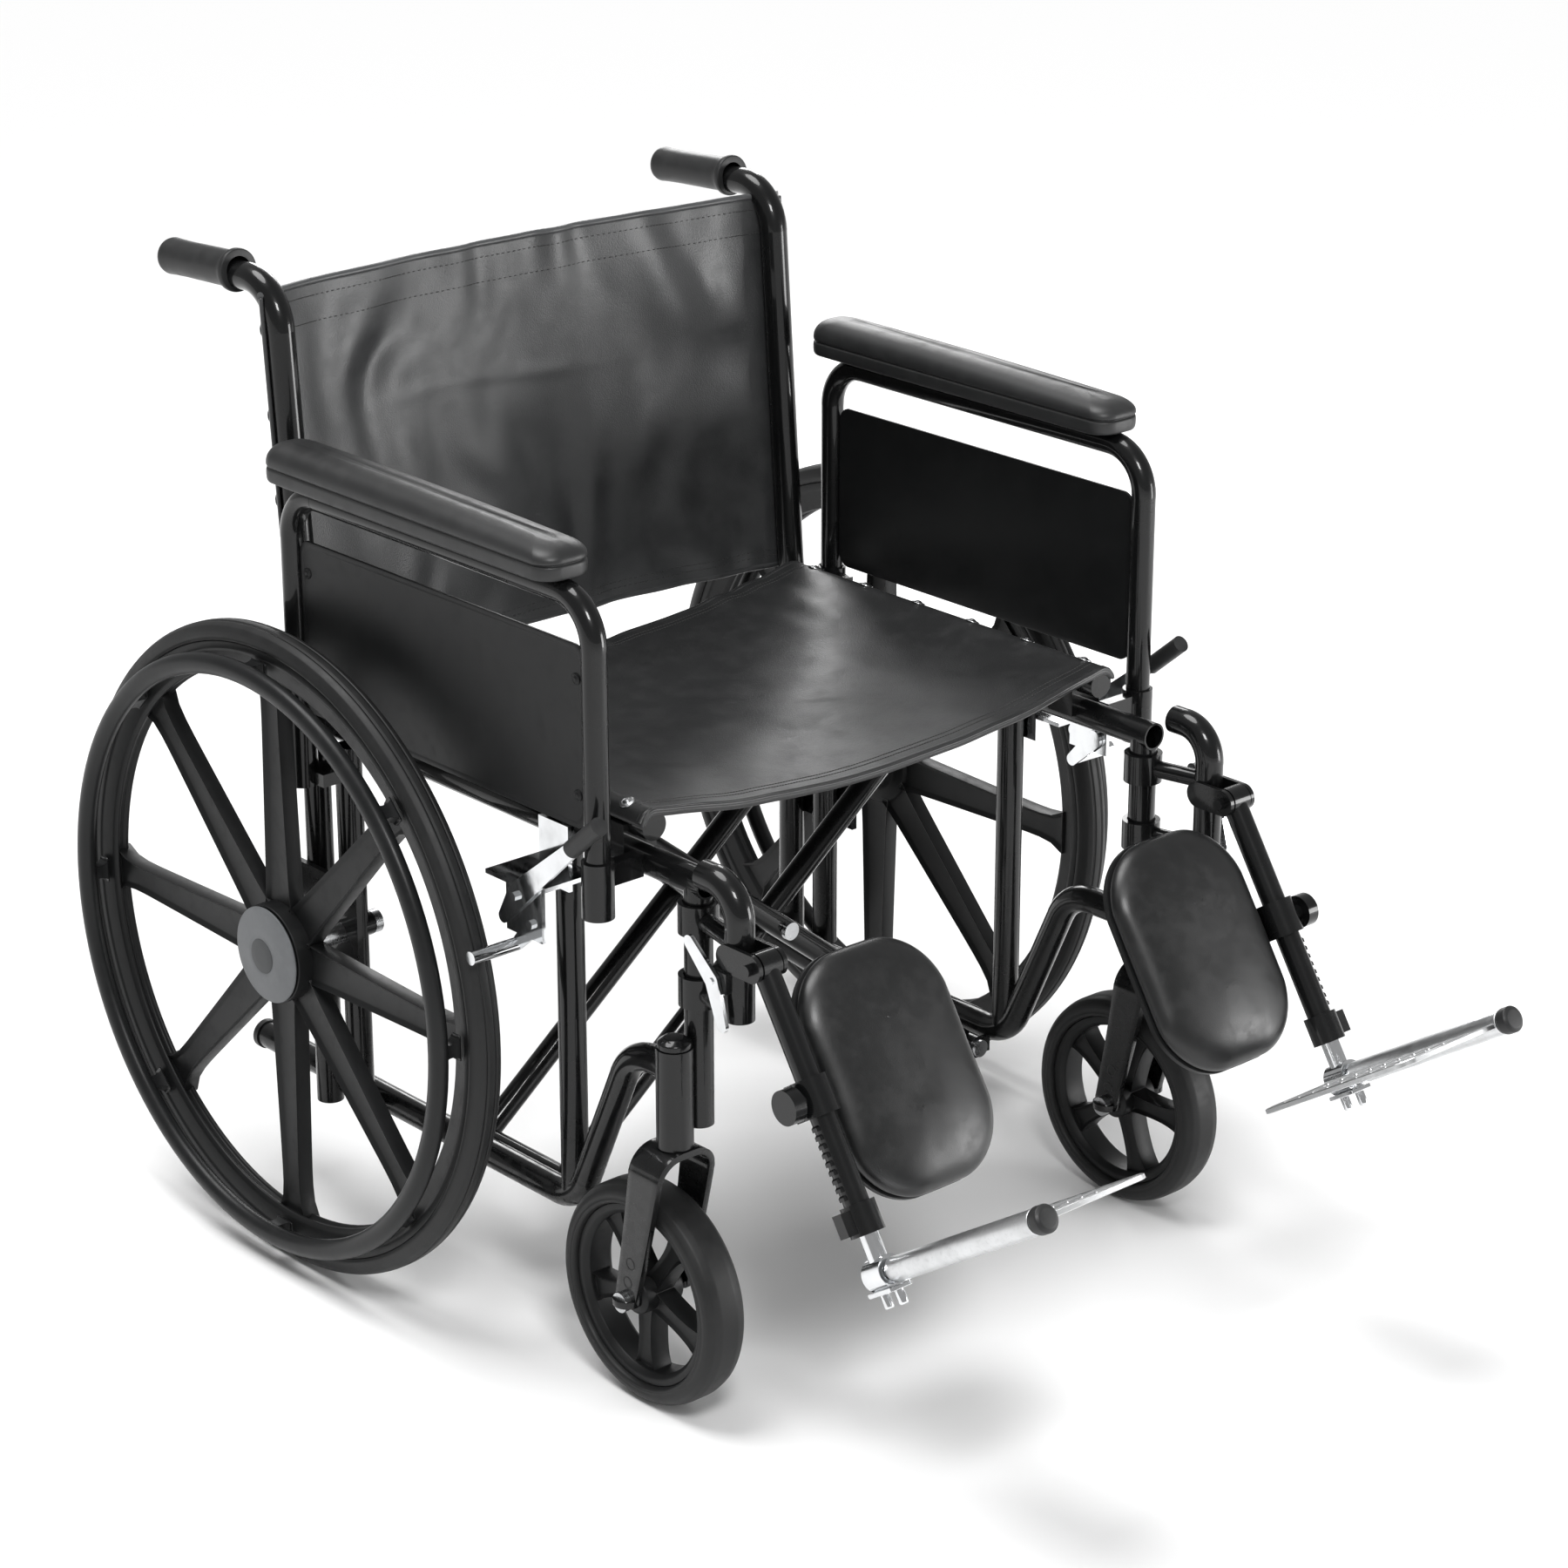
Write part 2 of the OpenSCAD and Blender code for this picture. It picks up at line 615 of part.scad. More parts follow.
// ---- wheel locks ----

brake_x = arm_x + socket_r + 5;
brake_t = 4;
lever_pivot = [mid_y - 26, 446];
shoe_pivot = [mid_y - 42, 424];
brake_pin_r = 4;
shoe_r = 6;
shoe_gap = 2.5;
shoe_a = 17;
shoe_c = [axle_y - (rear_d / 2 + shoe_r + shoe_gap) * cos(shoe_a), axle_z + (rear_d / 2 + shoe_r + shoe_gap) * sin(shoe_a)];

// Clamp plate on the top rail, a shelf out to the wheel and the plate that carries the pivots
module brake_bracket(s) side(s) color(chrome) {
    plate_x0 = frame_x + tube_r;
    difference() {
        union() {
            translate([plate_x0, mid_y - 20, 430]) cube([brake_t, 40, top_rail_z + 8 - 430]);
            translate([plate_x0, mid_y - 50, 452]) cube([brake_x - plate_x0, 70, brake_t]);
            translate([brake_x - brake_t, mid_y - 56, 410]) cube([brake_t, 48, 50]);
        }
        for (p = [lever_pivot, shoe_pivot]) translate([brake_x, p.x, p.y]) x_rod(brake_pin_r + run, 3 * brake_t);
    }
}

lever_x = brake_x + gap + 1.75;
lever_tip = [arm_y0 - 22, top_rail_z + 52];
lever_way = unit([0, lever_tip.x - lever_pivot.x, lever_tip.y - lever_pivot.y]);
grip_r = 8;
module brake_lever(s) side(s) color(chrome) {
    translate([lever_x, 0, 0]) x_plate(3.5) {
        flat_link(lever_pivot, lever_tip, 11, 5);
        flat_link(lever_pivot, lever_pivot + [18, -24], 11, 6);
    }
    translate([brake_x, lever_pivot.x, lever_pivot.y]) x_rod(brake_pin_r, 2 * brake_t + 7);
}

module brake_grip(s) side(s) color(rubber) difference() {
    tip = [lever_x + 1.5, lever_tip.x, lever_tip.y];
    bar(tip - lever_way * 36, tip + lever_way * 12, grip_r);
    translate([lever_x, 0, 0]) x_plate(3.5 + 2 * run) flat_link(lever_pivot, lever_tip, 11 + run, 5 + run);
}

// A flat bar drawn as (y, z) from p to q, with round ends of radius rp and rq
module flat_link(p, q, rp, rq) {
    d = unit(q - p);
    n = [-d.y, d.x];
    translate(p) circle(rp);
    translate(q) circle(rq);
    polygon([p + n * rp, q + n * rq, q - n * rq, p - n * rp]);
}

shoe_x = brake_x - brake_t - gap - 1.75;
module brake_shoe(s) side(s) color(chrome) {
    translate([shoe_x, 0, 0]) x_plate(3.5) flat_link(shoe_pivot, shoe_c, 9, 6);
    translate([brake_x - brake_t / 2, shoe_pivot.x, shoe_pivot.y]) x_rod(brake_pin_r, brake_t + 6);
    translate([(shoe_x + wheel_x + rear_tyre_w / 2) / 2, shoe_c.x, shoe_c.y])
        x_rod(shoe_r, wheel_x + rear_tyre_w / 2 - shoe_x + 3.5);
}

// ---- arms ----

arm_bend = 42;
module arm_tube(r, over)
    pipe([[arm_x, arm_y1, arm_low_z - over], [arm_x, arm_y1, arm_z],
          [arm_x, arm_y0, arm_z], [arm_x, arm_y0, arm_low_z - over]], r, arm_bend);

module arm_frame(s) side(s) color(paint) difference() {
    arm_tube(arm_r, 0);
    arm_tube(arm_r - tube_wall, 1);
}

pad_y1 = arm_y1 + 12;
pad_z = arm_z + arm_r + seat_gap;
module arm_pad(s) side(s) color(vinyl) translate([arm_x, pad_y1 - arm_pad_l / 2, pad_z])
    linear_extrude(arm_pad_t) round_rect(arm_pad_w, arm_pad_l, 20);

// A rectangle w by l, centred, with corner radius r
module round_rect(w, l, r) {
    square([w, l - 2 * r], center = true);
    square([w - 2 * r, l], center = true);
    for (x = [-1, 1], y = [-1, 1]) translate([x * (w / 2 - r), y * (l / 2 - r)]) circle(r);
}

panel_z = arm_z - arm_bend - panel_h;
module side_panel(s) side(s) color(plastic)
    translate([arm_x - panel_t / 2, arm_y0 + arm_r + seat_gap, panel_z])
        cube([panel_t, arm_y1 - arm_y0 - 2 * (arm_r + seat_gap), panel_h]);

// ---- legrests ----

leg_pin_r = 5;
sleeve_wall = 4.5;
hanger_sleeves = [372, 437];
hanger_sleeve_l = 27;
hanger_low_z = 384;
hanger_bend = 30;
module hanger_tube(r, over)
    pipe([[leg_x, front_y - 24 + over, hanger_z], [leg_x, hang_y, hanger_z],
          [leg_x, hang_y, hanger_low_z - over]], r, hanger_bend);

module hanger(s) side(s) color(paint) difference() {
    union() {
        difference() {
            hanger_tube(tube_r, 0);
            hanger_tube(tube_r - tube_wall, 1);
        }
        for (z = hanger_sleeves) {
            translate([frame_x, front_y, z]) cylinder(h = hanger_sleeve_l, r = tube_r + gap + sleeve_wall);
            bar([frame_x, front_y, z + hanger_sleeve_l / 2], [leg_x, hang_y + tube_r - 4, z + hanger_sleeve_l / 2], 8);
        }
        for (x = [-1, 1]) translate([leg_x + x * (leg_r + 2 + gap), 0, 0])
            x_plate(4) flat_link([hang_y, leg_pivot_z], [pivot_y, leg_pivot_z], 12, 12);
        translate([leg_x, pivot_y, leg_pivot_z]) x_rod(leg_pin_r, leg_d + 20);
        translate([leg_x + 8, hang_y - 4, latch_pivot.y - 9]) cube([latch_x - leg_x - 8 - 1.75 - gap, 22, 18]);
    }
    for (z = hanger_sleeves) translate([frame_x, front_y, z - 1])
        cylinder(h = hanger_sleeve_l + 2, r = tube_r + gap);
    translate([latch_x, latch_pivot.x, latch_pivot.y]) x_rod(3 + run, 24);
}

latch_x = leg_x + tube_r + 8;
latch_pivot = [hang_y + 10, 421];
module release_lever(s) side(s) color(chrome) {
    translate([latch_x, 0, 0]) x_plate(3.5) {
        flat_link(latch_pivot, latch_pivot + [28, 26], 8, 6);
        flat_link(latch_pivot, latch_pivot + [-12, -36], 8, 6);
    }
    translate([latch_x - 3, latch_pivot.x, latch_pivot.y]) x_rod(3, 12);
}

// Draws in the frame of the leg: z runs up the leg from its pivot, -y to the toes
module leg_frame(s) side(s) translate([leg_x, pivot_y, leg_pivot_z]) rotate([-leg_tilt, 0, 0]) children();

module leg_tube(s) leg_frame(s) color(paint) {
    difference() {
        union() {
            translate([0, 0, -leg_l]) cylinder(h = leg_l, r = leg_r);
            x_rod(leg_r + 1.5, leg_d - 2);
            translate([0, 0, -leg_l]) cylinder(h = 26, r = leg_r + 4);
            translate([leg_r, -6, -leg_l + 3]) cube([13, 12, 20]);
        }
        translate([0, 0, -leg_l - 1]) cylinder(h = leg_l - 18, r = ext_r + run);
        x_rod(leg_pin_r + run, leg_d + 20);
    }
}

rod_r = 6;
block_r = 14;
ext_in = 150;
module foot_extension(s) leg_frame(s) color(chrome) {
    translate([0, 0, -foot_drop + 4]) cylinder(h = ext_in, r = ext_r);
    translate([0, 0, -foot_drop]) y_rod(block_r, 2 * block_r - 4);
    translate([0, -(toe_s + block_r - 4) / 2, -foot_drop]) y_rod(rod_r, toe_s - block_r + 6);
    translate([0, -toe_s - toe_t / 2, -foot_drop]) y_rod(toe_r, toe_t);
}

module footplate(s) leg_frame(s) color(alloy) translate([0, -block_r - 2 - foot_l / 2, -foot_drop]) difference() {
    union() {
        y_rod(rod_r + 5, foot_l);
        translate([-foot_w / 2, 0, 0]) linear_extrude(foot_t, center = true) round_rect(foot_w, foot_l, 16);
    }
    y_rod(rod_r + run, foot_l + 2);
}

calf_z = -114;
calf_x = -leg_r - 6 - calf_w / 2;
pad_back = 21;
ring_r = leg_r + run + 5;
knob_r = 15;
// Collar on the leg tube with its clamp knob, and the arm behind the pad
module calf_bracket(s) leg_frame(s) color(paint) difference() {
    union() {
        translate([0, 0, calf_z - 16]) cylinder(h = 32, r = ring_r);
        translate([calf_x - 30, pad_back, calf_z - 16]) cube([-calf_x + 30, 5, 32]);
        translate([-8, 10, calf_z - 16]) cube([16, pad_back - 6, 32]);
        translate([ring_r + 3, 0, calf_z]) x_rod(7, 12);
        translate([ring_r + 12, 0, calf_z]) x_rod(knob_r, 12);
    }
    translate([0, 0, calf_z - 18]) cylinder(h = 36, r = leg_r + run);
}

module calf_pad(s) leg_frame(s) color(vinyl)
    translate([calf_x, pad_back - seat_gap, calf_z]) rotate([90, 0, 0])
        linear_extrude(calf_t) round_rect(calf_w, calf_h, calf_w / 2 - 1);

// ---- every node ----

brace_a();
brace_b();
brace_bolts();
left_brace_pin();
seat(1);  // seat_left
seat(-1);  // seat_right
side_frame(-1);  // right_side_frame
frame_cap(-1);  // right_frame_cap
push_grip(-1);  // right_push_grip
back(-1);  // right_back
brake_bracket(-1);  // right_brake_bracket
brake_lever(-1);  // right_brake_lever
brake_grip(-1);  // right_brake_grip
brake_shoe(-1);  // right_brake_shoe
rear_axle(-1);  // right_rear_axle
rear_wheel(-1);  // right_rear_wheel
rear_tyre(-1);  // right_rear_tyre
handrim(-1);  // right_handrim
hub_cap(-1);  // right_hub_cap
caster_fork(-1);  // right_caster_fork
caster_axle(-1);  // right_caster_axle
caster_wheel(-1);  // right_caster_wheel
caster_tyre(-1);  // right_caster_tyre
arm_frame(-1);  // right_arm_frame
arm_pad(-1);  // right_arm_pad
side_panel(-1);  // right_side_panel
hanger(-1);  // right_hanger
release_lever(-1);  // right_release_lever
leg_tube(-1);  // right_leg_tube
foot_extension(-1);  // right_foot_extension
footplate(-1);  // right_footplate
calf_bracket(-1);  // right_calf_bracket
calf_pad(-1);  // right_calf_pad
side_frame(1);  // left_side_frame
frame_cap(1);  // left_frame_cap
push_grip(1);  // left_push_grip
back(1);  // left_back
brake_bracket(1);  // left_brake_bracket
brake_lever(1);  // left_brake_lever
brake_grip(1);  // left_brake_grip
brake_shoe(1);  // left_brake_shoe
rear_axle(1);  // left_rear_axle
rear_wheel(1);  // left_rear_wheel
rear_tyre(1);  // left_rear_tyre
handrim(1);  // left_handrim
hub_cap(1);  // left_hub_cap
caster_fork(1);  // left_caster_fork
caster_axle(1);  // left_caster_axle
caster_wheel(1);  // left_caster_wheel
caster_tyre(1);  // left_caster_tyre
arm_frame(1);  // left_arm_frame
arm_pad(1);  // left_arm_pad
side_panel(1);  // left_side_panel
hanger(1);  // left_hanger
release_lever(1);  // left_release_lever
leg_tube(1);  // left_leg_tube
foot_extension(1);  // left_foot_extension
footplate(1);  // left_footplate
calf_bracket(1);  // left_calf_bracket
calf_pad(1);  // left_calf_pad
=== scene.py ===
import json
from math import cos, exp, pi, radians, sin

import bmesh
import bpy
from mathutils import Matrix, Vector, noise


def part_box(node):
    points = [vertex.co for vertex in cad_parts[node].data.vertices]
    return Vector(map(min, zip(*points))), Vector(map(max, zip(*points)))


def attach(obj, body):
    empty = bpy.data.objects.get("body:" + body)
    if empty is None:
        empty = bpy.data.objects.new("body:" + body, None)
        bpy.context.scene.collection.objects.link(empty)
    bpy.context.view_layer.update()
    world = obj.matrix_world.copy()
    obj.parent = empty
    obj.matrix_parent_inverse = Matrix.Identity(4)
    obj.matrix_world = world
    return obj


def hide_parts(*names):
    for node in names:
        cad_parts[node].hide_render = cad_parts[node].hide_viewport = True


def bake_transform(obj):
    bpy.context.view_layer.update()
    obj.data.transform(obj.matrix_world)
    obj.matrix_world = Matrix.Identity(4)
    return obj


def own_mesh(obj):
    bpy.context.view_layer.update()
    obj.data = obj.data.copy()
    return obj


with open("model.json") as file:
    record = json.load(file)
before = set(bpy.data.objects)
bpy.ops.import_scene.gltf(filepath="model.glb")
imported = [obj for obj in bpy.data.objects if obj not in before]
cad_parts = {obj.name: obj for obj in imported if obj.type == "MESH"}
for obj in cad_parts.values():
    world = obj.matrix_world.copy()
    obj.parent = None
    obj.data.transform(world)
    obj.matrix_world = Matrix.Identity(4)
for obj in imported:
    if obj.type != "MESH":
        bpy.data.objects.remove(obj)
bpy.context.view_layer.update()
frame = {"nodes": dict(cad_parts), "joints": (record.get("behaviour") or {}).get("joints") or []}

joints = {j["name"]: j for j in frame["joints"]}
SIDES = (("right", -1), ("left", 1))


# ---- Studio ----
# A pale floor under soft panels of light, and the camera at a standing onlooker's height,
# ahead and to the right of the chair.

CAMERA_PLACE = (-2.3092, -2.5620, 1.7661)
CAMERA_AZIMUTH = radians(-41.74)
CAMERA_ELEVATION = radians(20.84)
CAMERA_LENS = 94.58

scene = bpy.context.scene
lens = bpy.data.cameras.new("camera")
lens.lens = CAMERA_LENS
lens.sensor_width = 36.0
lens.clip_end = 60.0
camera = bpy.data.objects.new("camera", lens)
camera.location = CAMERA_PLACE
camera.rotation_euler = (pi / 2 - CAMERA_ELEVATION, 0.0, CAMERA_AZIMUTH)
scene.collection.objects.link(camera)
scene.camera = camera
scene.view_settings.view_transform = "Standard"

world = bpy.data.worlds.new("studio")
world.use_nodes = True
world.node_tree.nodes["Background"].inputs["Color"].default_value = (1.0, 1.0, 1.0, 1.0)
world.node_tree.nodes["Background"].inputs["Strength"].default_value = 0.36
scene.world = world


def soft_light(name, place, target, size, power):
    """A square panel of light at place that faces target."""
    panel = bpy.data.lights.new(name, "AREA")
    panel.size = size
    panel.energy = power
    lamp = bpy.data.objects.new(name, panel)
    lamp.location = place
    lamp.rotation_euler = (Vector(target) - Vector(place)).to_track_quat("-Z", "Y").to_euler()
    scene.collection.objects.link(lamp)


MIDDLE = (0.0, 0.0, 0.45)
soft_light("key", (-1.4, -2.2, 3.0), MIDDLE, 0.8, 62)
soft_light("rim", (2.1, 2.5, 1.85), MIDDLE, 1.4, 40)
soft_light("front", (2.3, -2.5, 0.55), (0.0, 0.2, 0.7), 1.1, 46)
overhead = bpy.data.lights.new("overhead", "SUN")
overhead.energy = 2.5
overhead.angle = radians(34)
overhead_lamp = bpy.data.objects.new("overhead", overhead)
overhead_lamp.rotation_euler = (radians(-14), radians(-10), 0.0)
scene.collection.objects.link(overhead_lamp)


class Value:
    """A number that changes over a surface. Arithmetic on it adds Math nodes."""

    def __init__(self, finish, socket):
        self.finish = finish
        self.socket = socket

    def math(self, operation, *others):
        return self.finish.math(operation, self, *others)

    def __add__(self, other):
        return self.math("ADD", other)

    def __sub__(self, other):
        return self.math("SUBTRACT", other)

    def __mul__(self, other):
        return self.math("MULTIPLY", other)

    def __truediv__(self, other):
        return self.math("DIVIDE", other)

    def __pow__(self, other):
        return self.math("POWER", other)

    def __radd__(self, other):
        return self.finish.math("ADD", other, self)

    def __rsub__(self, other):
        return self.finish.math("SUBTRACT", other, self)

    def __rmul__(self, other):
        return self.finish.math("MULTIPLY", other, self)

    def clamped(self):
        return self.math("MAXIMUM", 0.0).math("MINIMUM", 1.0)

    def between(self, low, high):
        """0 below low, 1 above high, and straight between them."""
        return ((self - low) / (high - low)).clamped()


class Finish:
    """A material made of nodes, with its pattern on Object coordinates."""

    def __init__(self, name):
        self.material = bpy.data.materials.new(name)
        self.material.use_nodes = True
        self.tree = self.material.node_tree
        self.shader = self.tree.nodes["Principled BSDF"]
        self.place = self.node("ShaderNodeTexCoord", output="Object")

    def plug(self, socket, value):
        if isinstance(value, Value):
            self.tree.links.new(value.socket, socket)
        else:
            socket.default_value = value

    def node(self, kind, settings=None, sockets=None, output=0):
        made = self.tree.nodes.new(kind)
        for key, value in (settings or {}).items():
            setattr(made, key, value)
        for key, value in (sockets or {}).items():
            self.plug(made.inputs[key], value)
        return Value(self, made.outputs[output])

    def math(self, operation, *values):
        return self.node("ShaderNodeMath", {"operation": operation}, dict(enumerate(values)))

    def along(self, axis):
        """Distance along X, Y or Z in metres."""
        return self.node("ShaderNodeSeparateXYZ", None, {"Vector": self.place}, axis)

    def stretched(self, scale):
        return self.node("ShaderNodeMapping", None, {"Vector": self.place, "Scale": scale})

    def noise(self, size, detail=3.0, rough=0.55, place=None):
        """Cloudy noise from 0 to 1 with blots about size metres across."""
        return self.node("ShaderNodeTexNoise", None, {
            "Vector": place or self.place, "Scale": 1.0 / size, "Detail": detail, "Roughness": rough}, "Fac")

    def cells(self, size, feature="F1", place=None):
        """Distance to the nearest cell point or cell edge, for cells size metres across."""
        return self.node("ShaderNodeTexVoronoi", {"feature": feature}, {
            "Vector": place or self.place, "Scale": 1.0 / size}, "Distance")

    def mixed(self, first, second, mask):
        """The colour first where mask is 0 and second where it is 1."""
        return self.node("ShaderNodeMix", {"data_type": "RGBA"}, {0: mask, 6: first, 7: second}, 2)

    def bumped(self, height, depth, strength=1.0):
        return self.node("ShaderNodeBump", None, {
            "Height": height, "Distance": depth, "Strength": strength}, "Normal")

    def surface(self, **sockets):
        for key, value in sockets.items():
            name = key.replace("_", " ").title().replace("Ior", "IOR")
            self.plug(self.shader.inputs[name], value)
        return self


def grey(level, tint=0.0):
    """A grey, a little bluer where tint is above 0."""
    return (level * (1 - tint), level, level * (1 + tint), 1.0)


floor_finish = Finish("studio_floor")
floor_finish.surface(base_color=grey(0.88), roughness=0.9)
FLOOR_HALF = 20.0
floor_mesh = bpy.data.meshes.new("floor")
bm = bmesh.new()
bmesh.ops.create_grid(bm, x_segments=1, y_segments=1, size=FLOOR_HALF)
bm.to_mesh(floor_mesh)
bm.free()
floor = bpy.data.objects.new("floor", floor_mesh)
floor.location.z = -0.0005
floor_mesh.materials.append(floor_finish.material)
scene.collection.objects.link(floor)


# ---- Painted steel tube ----
# The side frames, cross braces, arm frames, hangers and leg tubes are welded steel tube, sprayed in gloss
# black. The coat has a fine orange peel, and it is a little duller low down, where dust settles on it.

def dress(finish, *parts):
    """Gives CAD nodes a finish."""
    for part in parts:
        slots = frame["nodes"][part].data.materials
        slots.clear()
        slots.append(finish.material)


def both(*parts):
    return [f"{side}_{part}" for side, _ in SIDES for part in parts]


def gloss_paint(name):
    f = Finish(name)
    peel = f.noise(0.0022, 2.0)
    haze = f.noise(0.06, 4.0).between(0.42, 0.72)
    dust = (1.0 - f.along("Z").between(0.05, 0.3)) * f.noise(0.012, 5.0).between(0.45, 0.7)
    colour = f.mixed(grey(0.0045, 0.04), grey(0.03), dust * 0.35)
    f.surface(base_color=colour, roughness=0.24 + haze * 0.1 + dust * 0.25, coat_weight=0.6 - dust * 0.35,
              normal=f.bumped(peel, 0.00008, 0.35))
    f.surface(coat_roughness=0.045, coat_ior=1.42, specular_ior_level=0.16)
    return f


paint = gloss_paint("gloss_black_paint")
dress(paint, "brace_a", "brace_b",
      *both("side_frame", "arm_frame", "hanger", "leg_tube", "calf_bracket"))


# ---- Bare and plated steel ----
# Axles and pins are zinc-plated. The wheel locks, levers and foot tubes are chromed, with fine rub marks
# along them and a duller film where they are handled.

def plated(name, level, roughness, mark_depth):
    f = Finish(name)
    marks = f.noise(0.0012, 3.0, 0.6, f.stretched((1.0, 1.0, 0.08)))
    film = f.noise(0.025, 4.0).between(0.4, 0.75)
    f.surface(base_color=f.mixed(grey(level, 0.015), grey(level * 0.72, 0.01), film * 0.6),
              roughness=roughness + film * 0.12 + marks.between(0.55, 0.8) * 0.08, metallic=1.0,
              normal=f.bumped(marks, mark_depth, 0.3))
    return f


chrome = plated("polished_chrome", 0.78, 0.07, 0.00003)
zinc = plated("zinc_plated_steel", 0.5, 0.26, 0.00006)
dress(chrome, *both("brake_bracket", "brake_lever", "brake_shoe", "release_lever", "foot_extension"))
dress(zinc, "brace_bolts", "left_brace_pin", *both("rear_axle", "caster_axle"))


# ---- Seat sling ----
# Black vinyl over woven nylon. It hangs between the two seat rails, wraps over each rail's crown and is
# screwed down along it. The front and rear edges are turned under and stitched.

def grained_vinyl(name, level, gloss):
    """Pebbled vinyl with soft scuffs. It is glossier on the crown of each pebble."""
    f = Finish(name)
    warp = f.noise(0.004, 2.0)
    pebble = f.cells(0.00125, "F1")
    fine = f.noise(0.0006, 2.0)
    height = (1.0 - pebble) * 0.8 + fine * 0.25 + warp * 0.5
    scuff = f.noise(0.03, 5.0, 0.62).between(0.45, 0.8)
    # The cloud patches are lighter and glossier: partly a random change of tone, partly painted sheen.
    cloud = f.noise(0.11, 3.0).between(0.3, 0.75)
    tone_and_sheen = f.mixed(grey(level * 0.8, 0.03), grey(level * 1.35, 0.03), cloud)
    colour = f.mixed(tone_and_sheen, grey(level * 2.0, 0.02), scuff * 0.35)
    f.surface(base_color=colour, roughness=gloss + scuff * 0.12 - cloud * 0.06 + pebble * 0.08,
              normal=f.bumped(height, 0.00022, 0.55))
    f.surface(sheen_weight=0.05, sheen_roughness=0.4, specular_ior_level=0.55)
    return f


def settle(bm, name):
    """Merges a bmesh's seams and poles, points its faces outwards and links it as a smooth object."""
    bmesh.ops.remove_doubles(bm, verts=bm.verts, dist=1e-6)
    bmesh.ops.recalc_face_normals(bm, faces=bm.faces)
    mesh = bpy.data.meshes.new(name)
    bm.to_mesh(mesh)
    bm.free()
    for face in mesh.polygons:
        face.use_smooth = True
    piece = bpy.data.objects.new(name, mesh)
    scene.collection.objects.link(piece)
    return piece


def sharpen(piece, angle=38.0):
    piece.data.set_sharp_from_angle(angle=radians(angle))


def place_piece(piece, finish, body, slot):
    piece.data.materials.append(finish.material)
    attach(piece, body)
    return piece


def with_modifiers(piece):
    """Replaces a piece's mesh by what its modifiers make of it."""
    shown = piece.evaluated_get(bpy.context.evaluated_depsgraph_get())
    mesh = bpy.data.meshes.new_from_object(shown)
    piece.modifiers.clear()
    piece.data = mesh
    return piece


RAIL_R = 0.0127
SEAT_SKIN = 0.0035
SEAT_SAG = 0.026
SEAT_LIFT = 0.0005
SEAT_HEM = 0.0045

seat_low, seat_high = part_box("seat_left")
rail_x = seat_high.x - RAIL_R
rail_z = seat_high.z - 0.006 - 0.0003 - RAIL_R
seat_y0, seat_y1 = seat_low.y, seat_high.y
wrap_r = RAIL_R + SEAT_LIFT + SEAT_SKIN / 2
WRAP_ANGLE = radians(80)
seat_half = rail_x + wrap_r * WRAP_ANGLE


def soft_noise(x, y, size, seed):
    return noise.noise(Vector((x / size, y / size, seed)))


def seat_wrinkle(x, y):
    """Small folds: pulls that fan out from the rail ends and slack ripples behind the front hem."""
    front = exp(-((y - seat_y0) / 0.12))
    rear = exp(-((seat_y1 - y) / 0.09))
    side = (abs(x) / rail_x) ** 2
    hold = max(0.0, 1 - (abs(x) / rail_x) ** 8)
    fan = sin(abs(x) * 62 + (y - seat_y0) * 38) * 0.0016 * front * side
    slack = soft_noise(x, y, 0.1, 3.0) * 0.0016 + soft_noise(x, y, 0.035, 7.0) * 0.0003
    gather = sin(x * 95 + soft_noise(x, y, 0.1, 5.0) * 4) * 0.0012 * rear
    return hold * (fan + slack + gather)


def seat_point(s, y):
    """The middle of the sling's skin, s metres across from its middle."""
    if abs(s) <= rail_x:
        droop = SEAT_SAG * (1 - (s / rail_x) ** 2) * (1 + 0.12 * exp(-((y - seat_y0) / 0.05)))
        return Vector((s, y, rail_z + wrap_r - droop + seat_wrinkle(s, y)))
    turn = (abs(s) - rail_x) / wrap_r
    side = 1 if s > 0 else -1
    return Vector((side * (rail_x + wrap_r * sin(turn)), y, rail_z + wrap_r * cos(turn)))


def cloth_sheet(name, half, low, high, across, along, point, skin):
    """A skin of cloth: a grid laid on point(s, t) and given its thickness."""
    bm = bmesh.new()
    bmesh.ops.create_grid(bm, x_segments=across, y_segments=along, size=1.0)
    for vert in bm.verts:
        vert.co = point(vert.co.x * half, low + (vert.co.y + 1) / 2 * (high - low))
    piece = settle(bm, name)
    solid = piece.modifiers.new("skin", "SOLIDIFY")
    solid.thickness = skin
    solid.offset = 0.0
    edge = piece.modifiers.new("edge", "BEVEL")
    edge.width = skin * 0.3
    edge.segments = 2
    edge.limit_method = "ANGLE"
    edge.angle_limit = radians(60)
    return with_modifiers(piece)


def cord_along(points, radius, name, sides=4):
    """A round cord along points, as a mesh."""
    line = bpy.data.curves.new(name, "CURVE")
    line.dimensions = "3D"
    line.bevel_depth = radius
    line.bevel_resolution = sides
    line.use_fill_caps = True
    spline = line.splines.new("POLY")
    spline.points.add(len(points) - 1)
    for spot, point in zip(spline.points, points):
        spot.co = (*point, 1.0)
    drawn = bpy.data.objects.new(name, line)
    scene.collection.objects.link(drawn)
    shown = drawn.evaluated_get(bpy.context.evaluated_depsgraph_get())
    mesh = bpy.data.meshes.new_from_object(shown)
    bpy.data.objects.remove(drawn)
    for face in mesh.polygons:
        face.use_smooth = True
    piece = bpy.data.objects.new(name, mesh)
    scene.collection.objects.link(piece)
    return piece


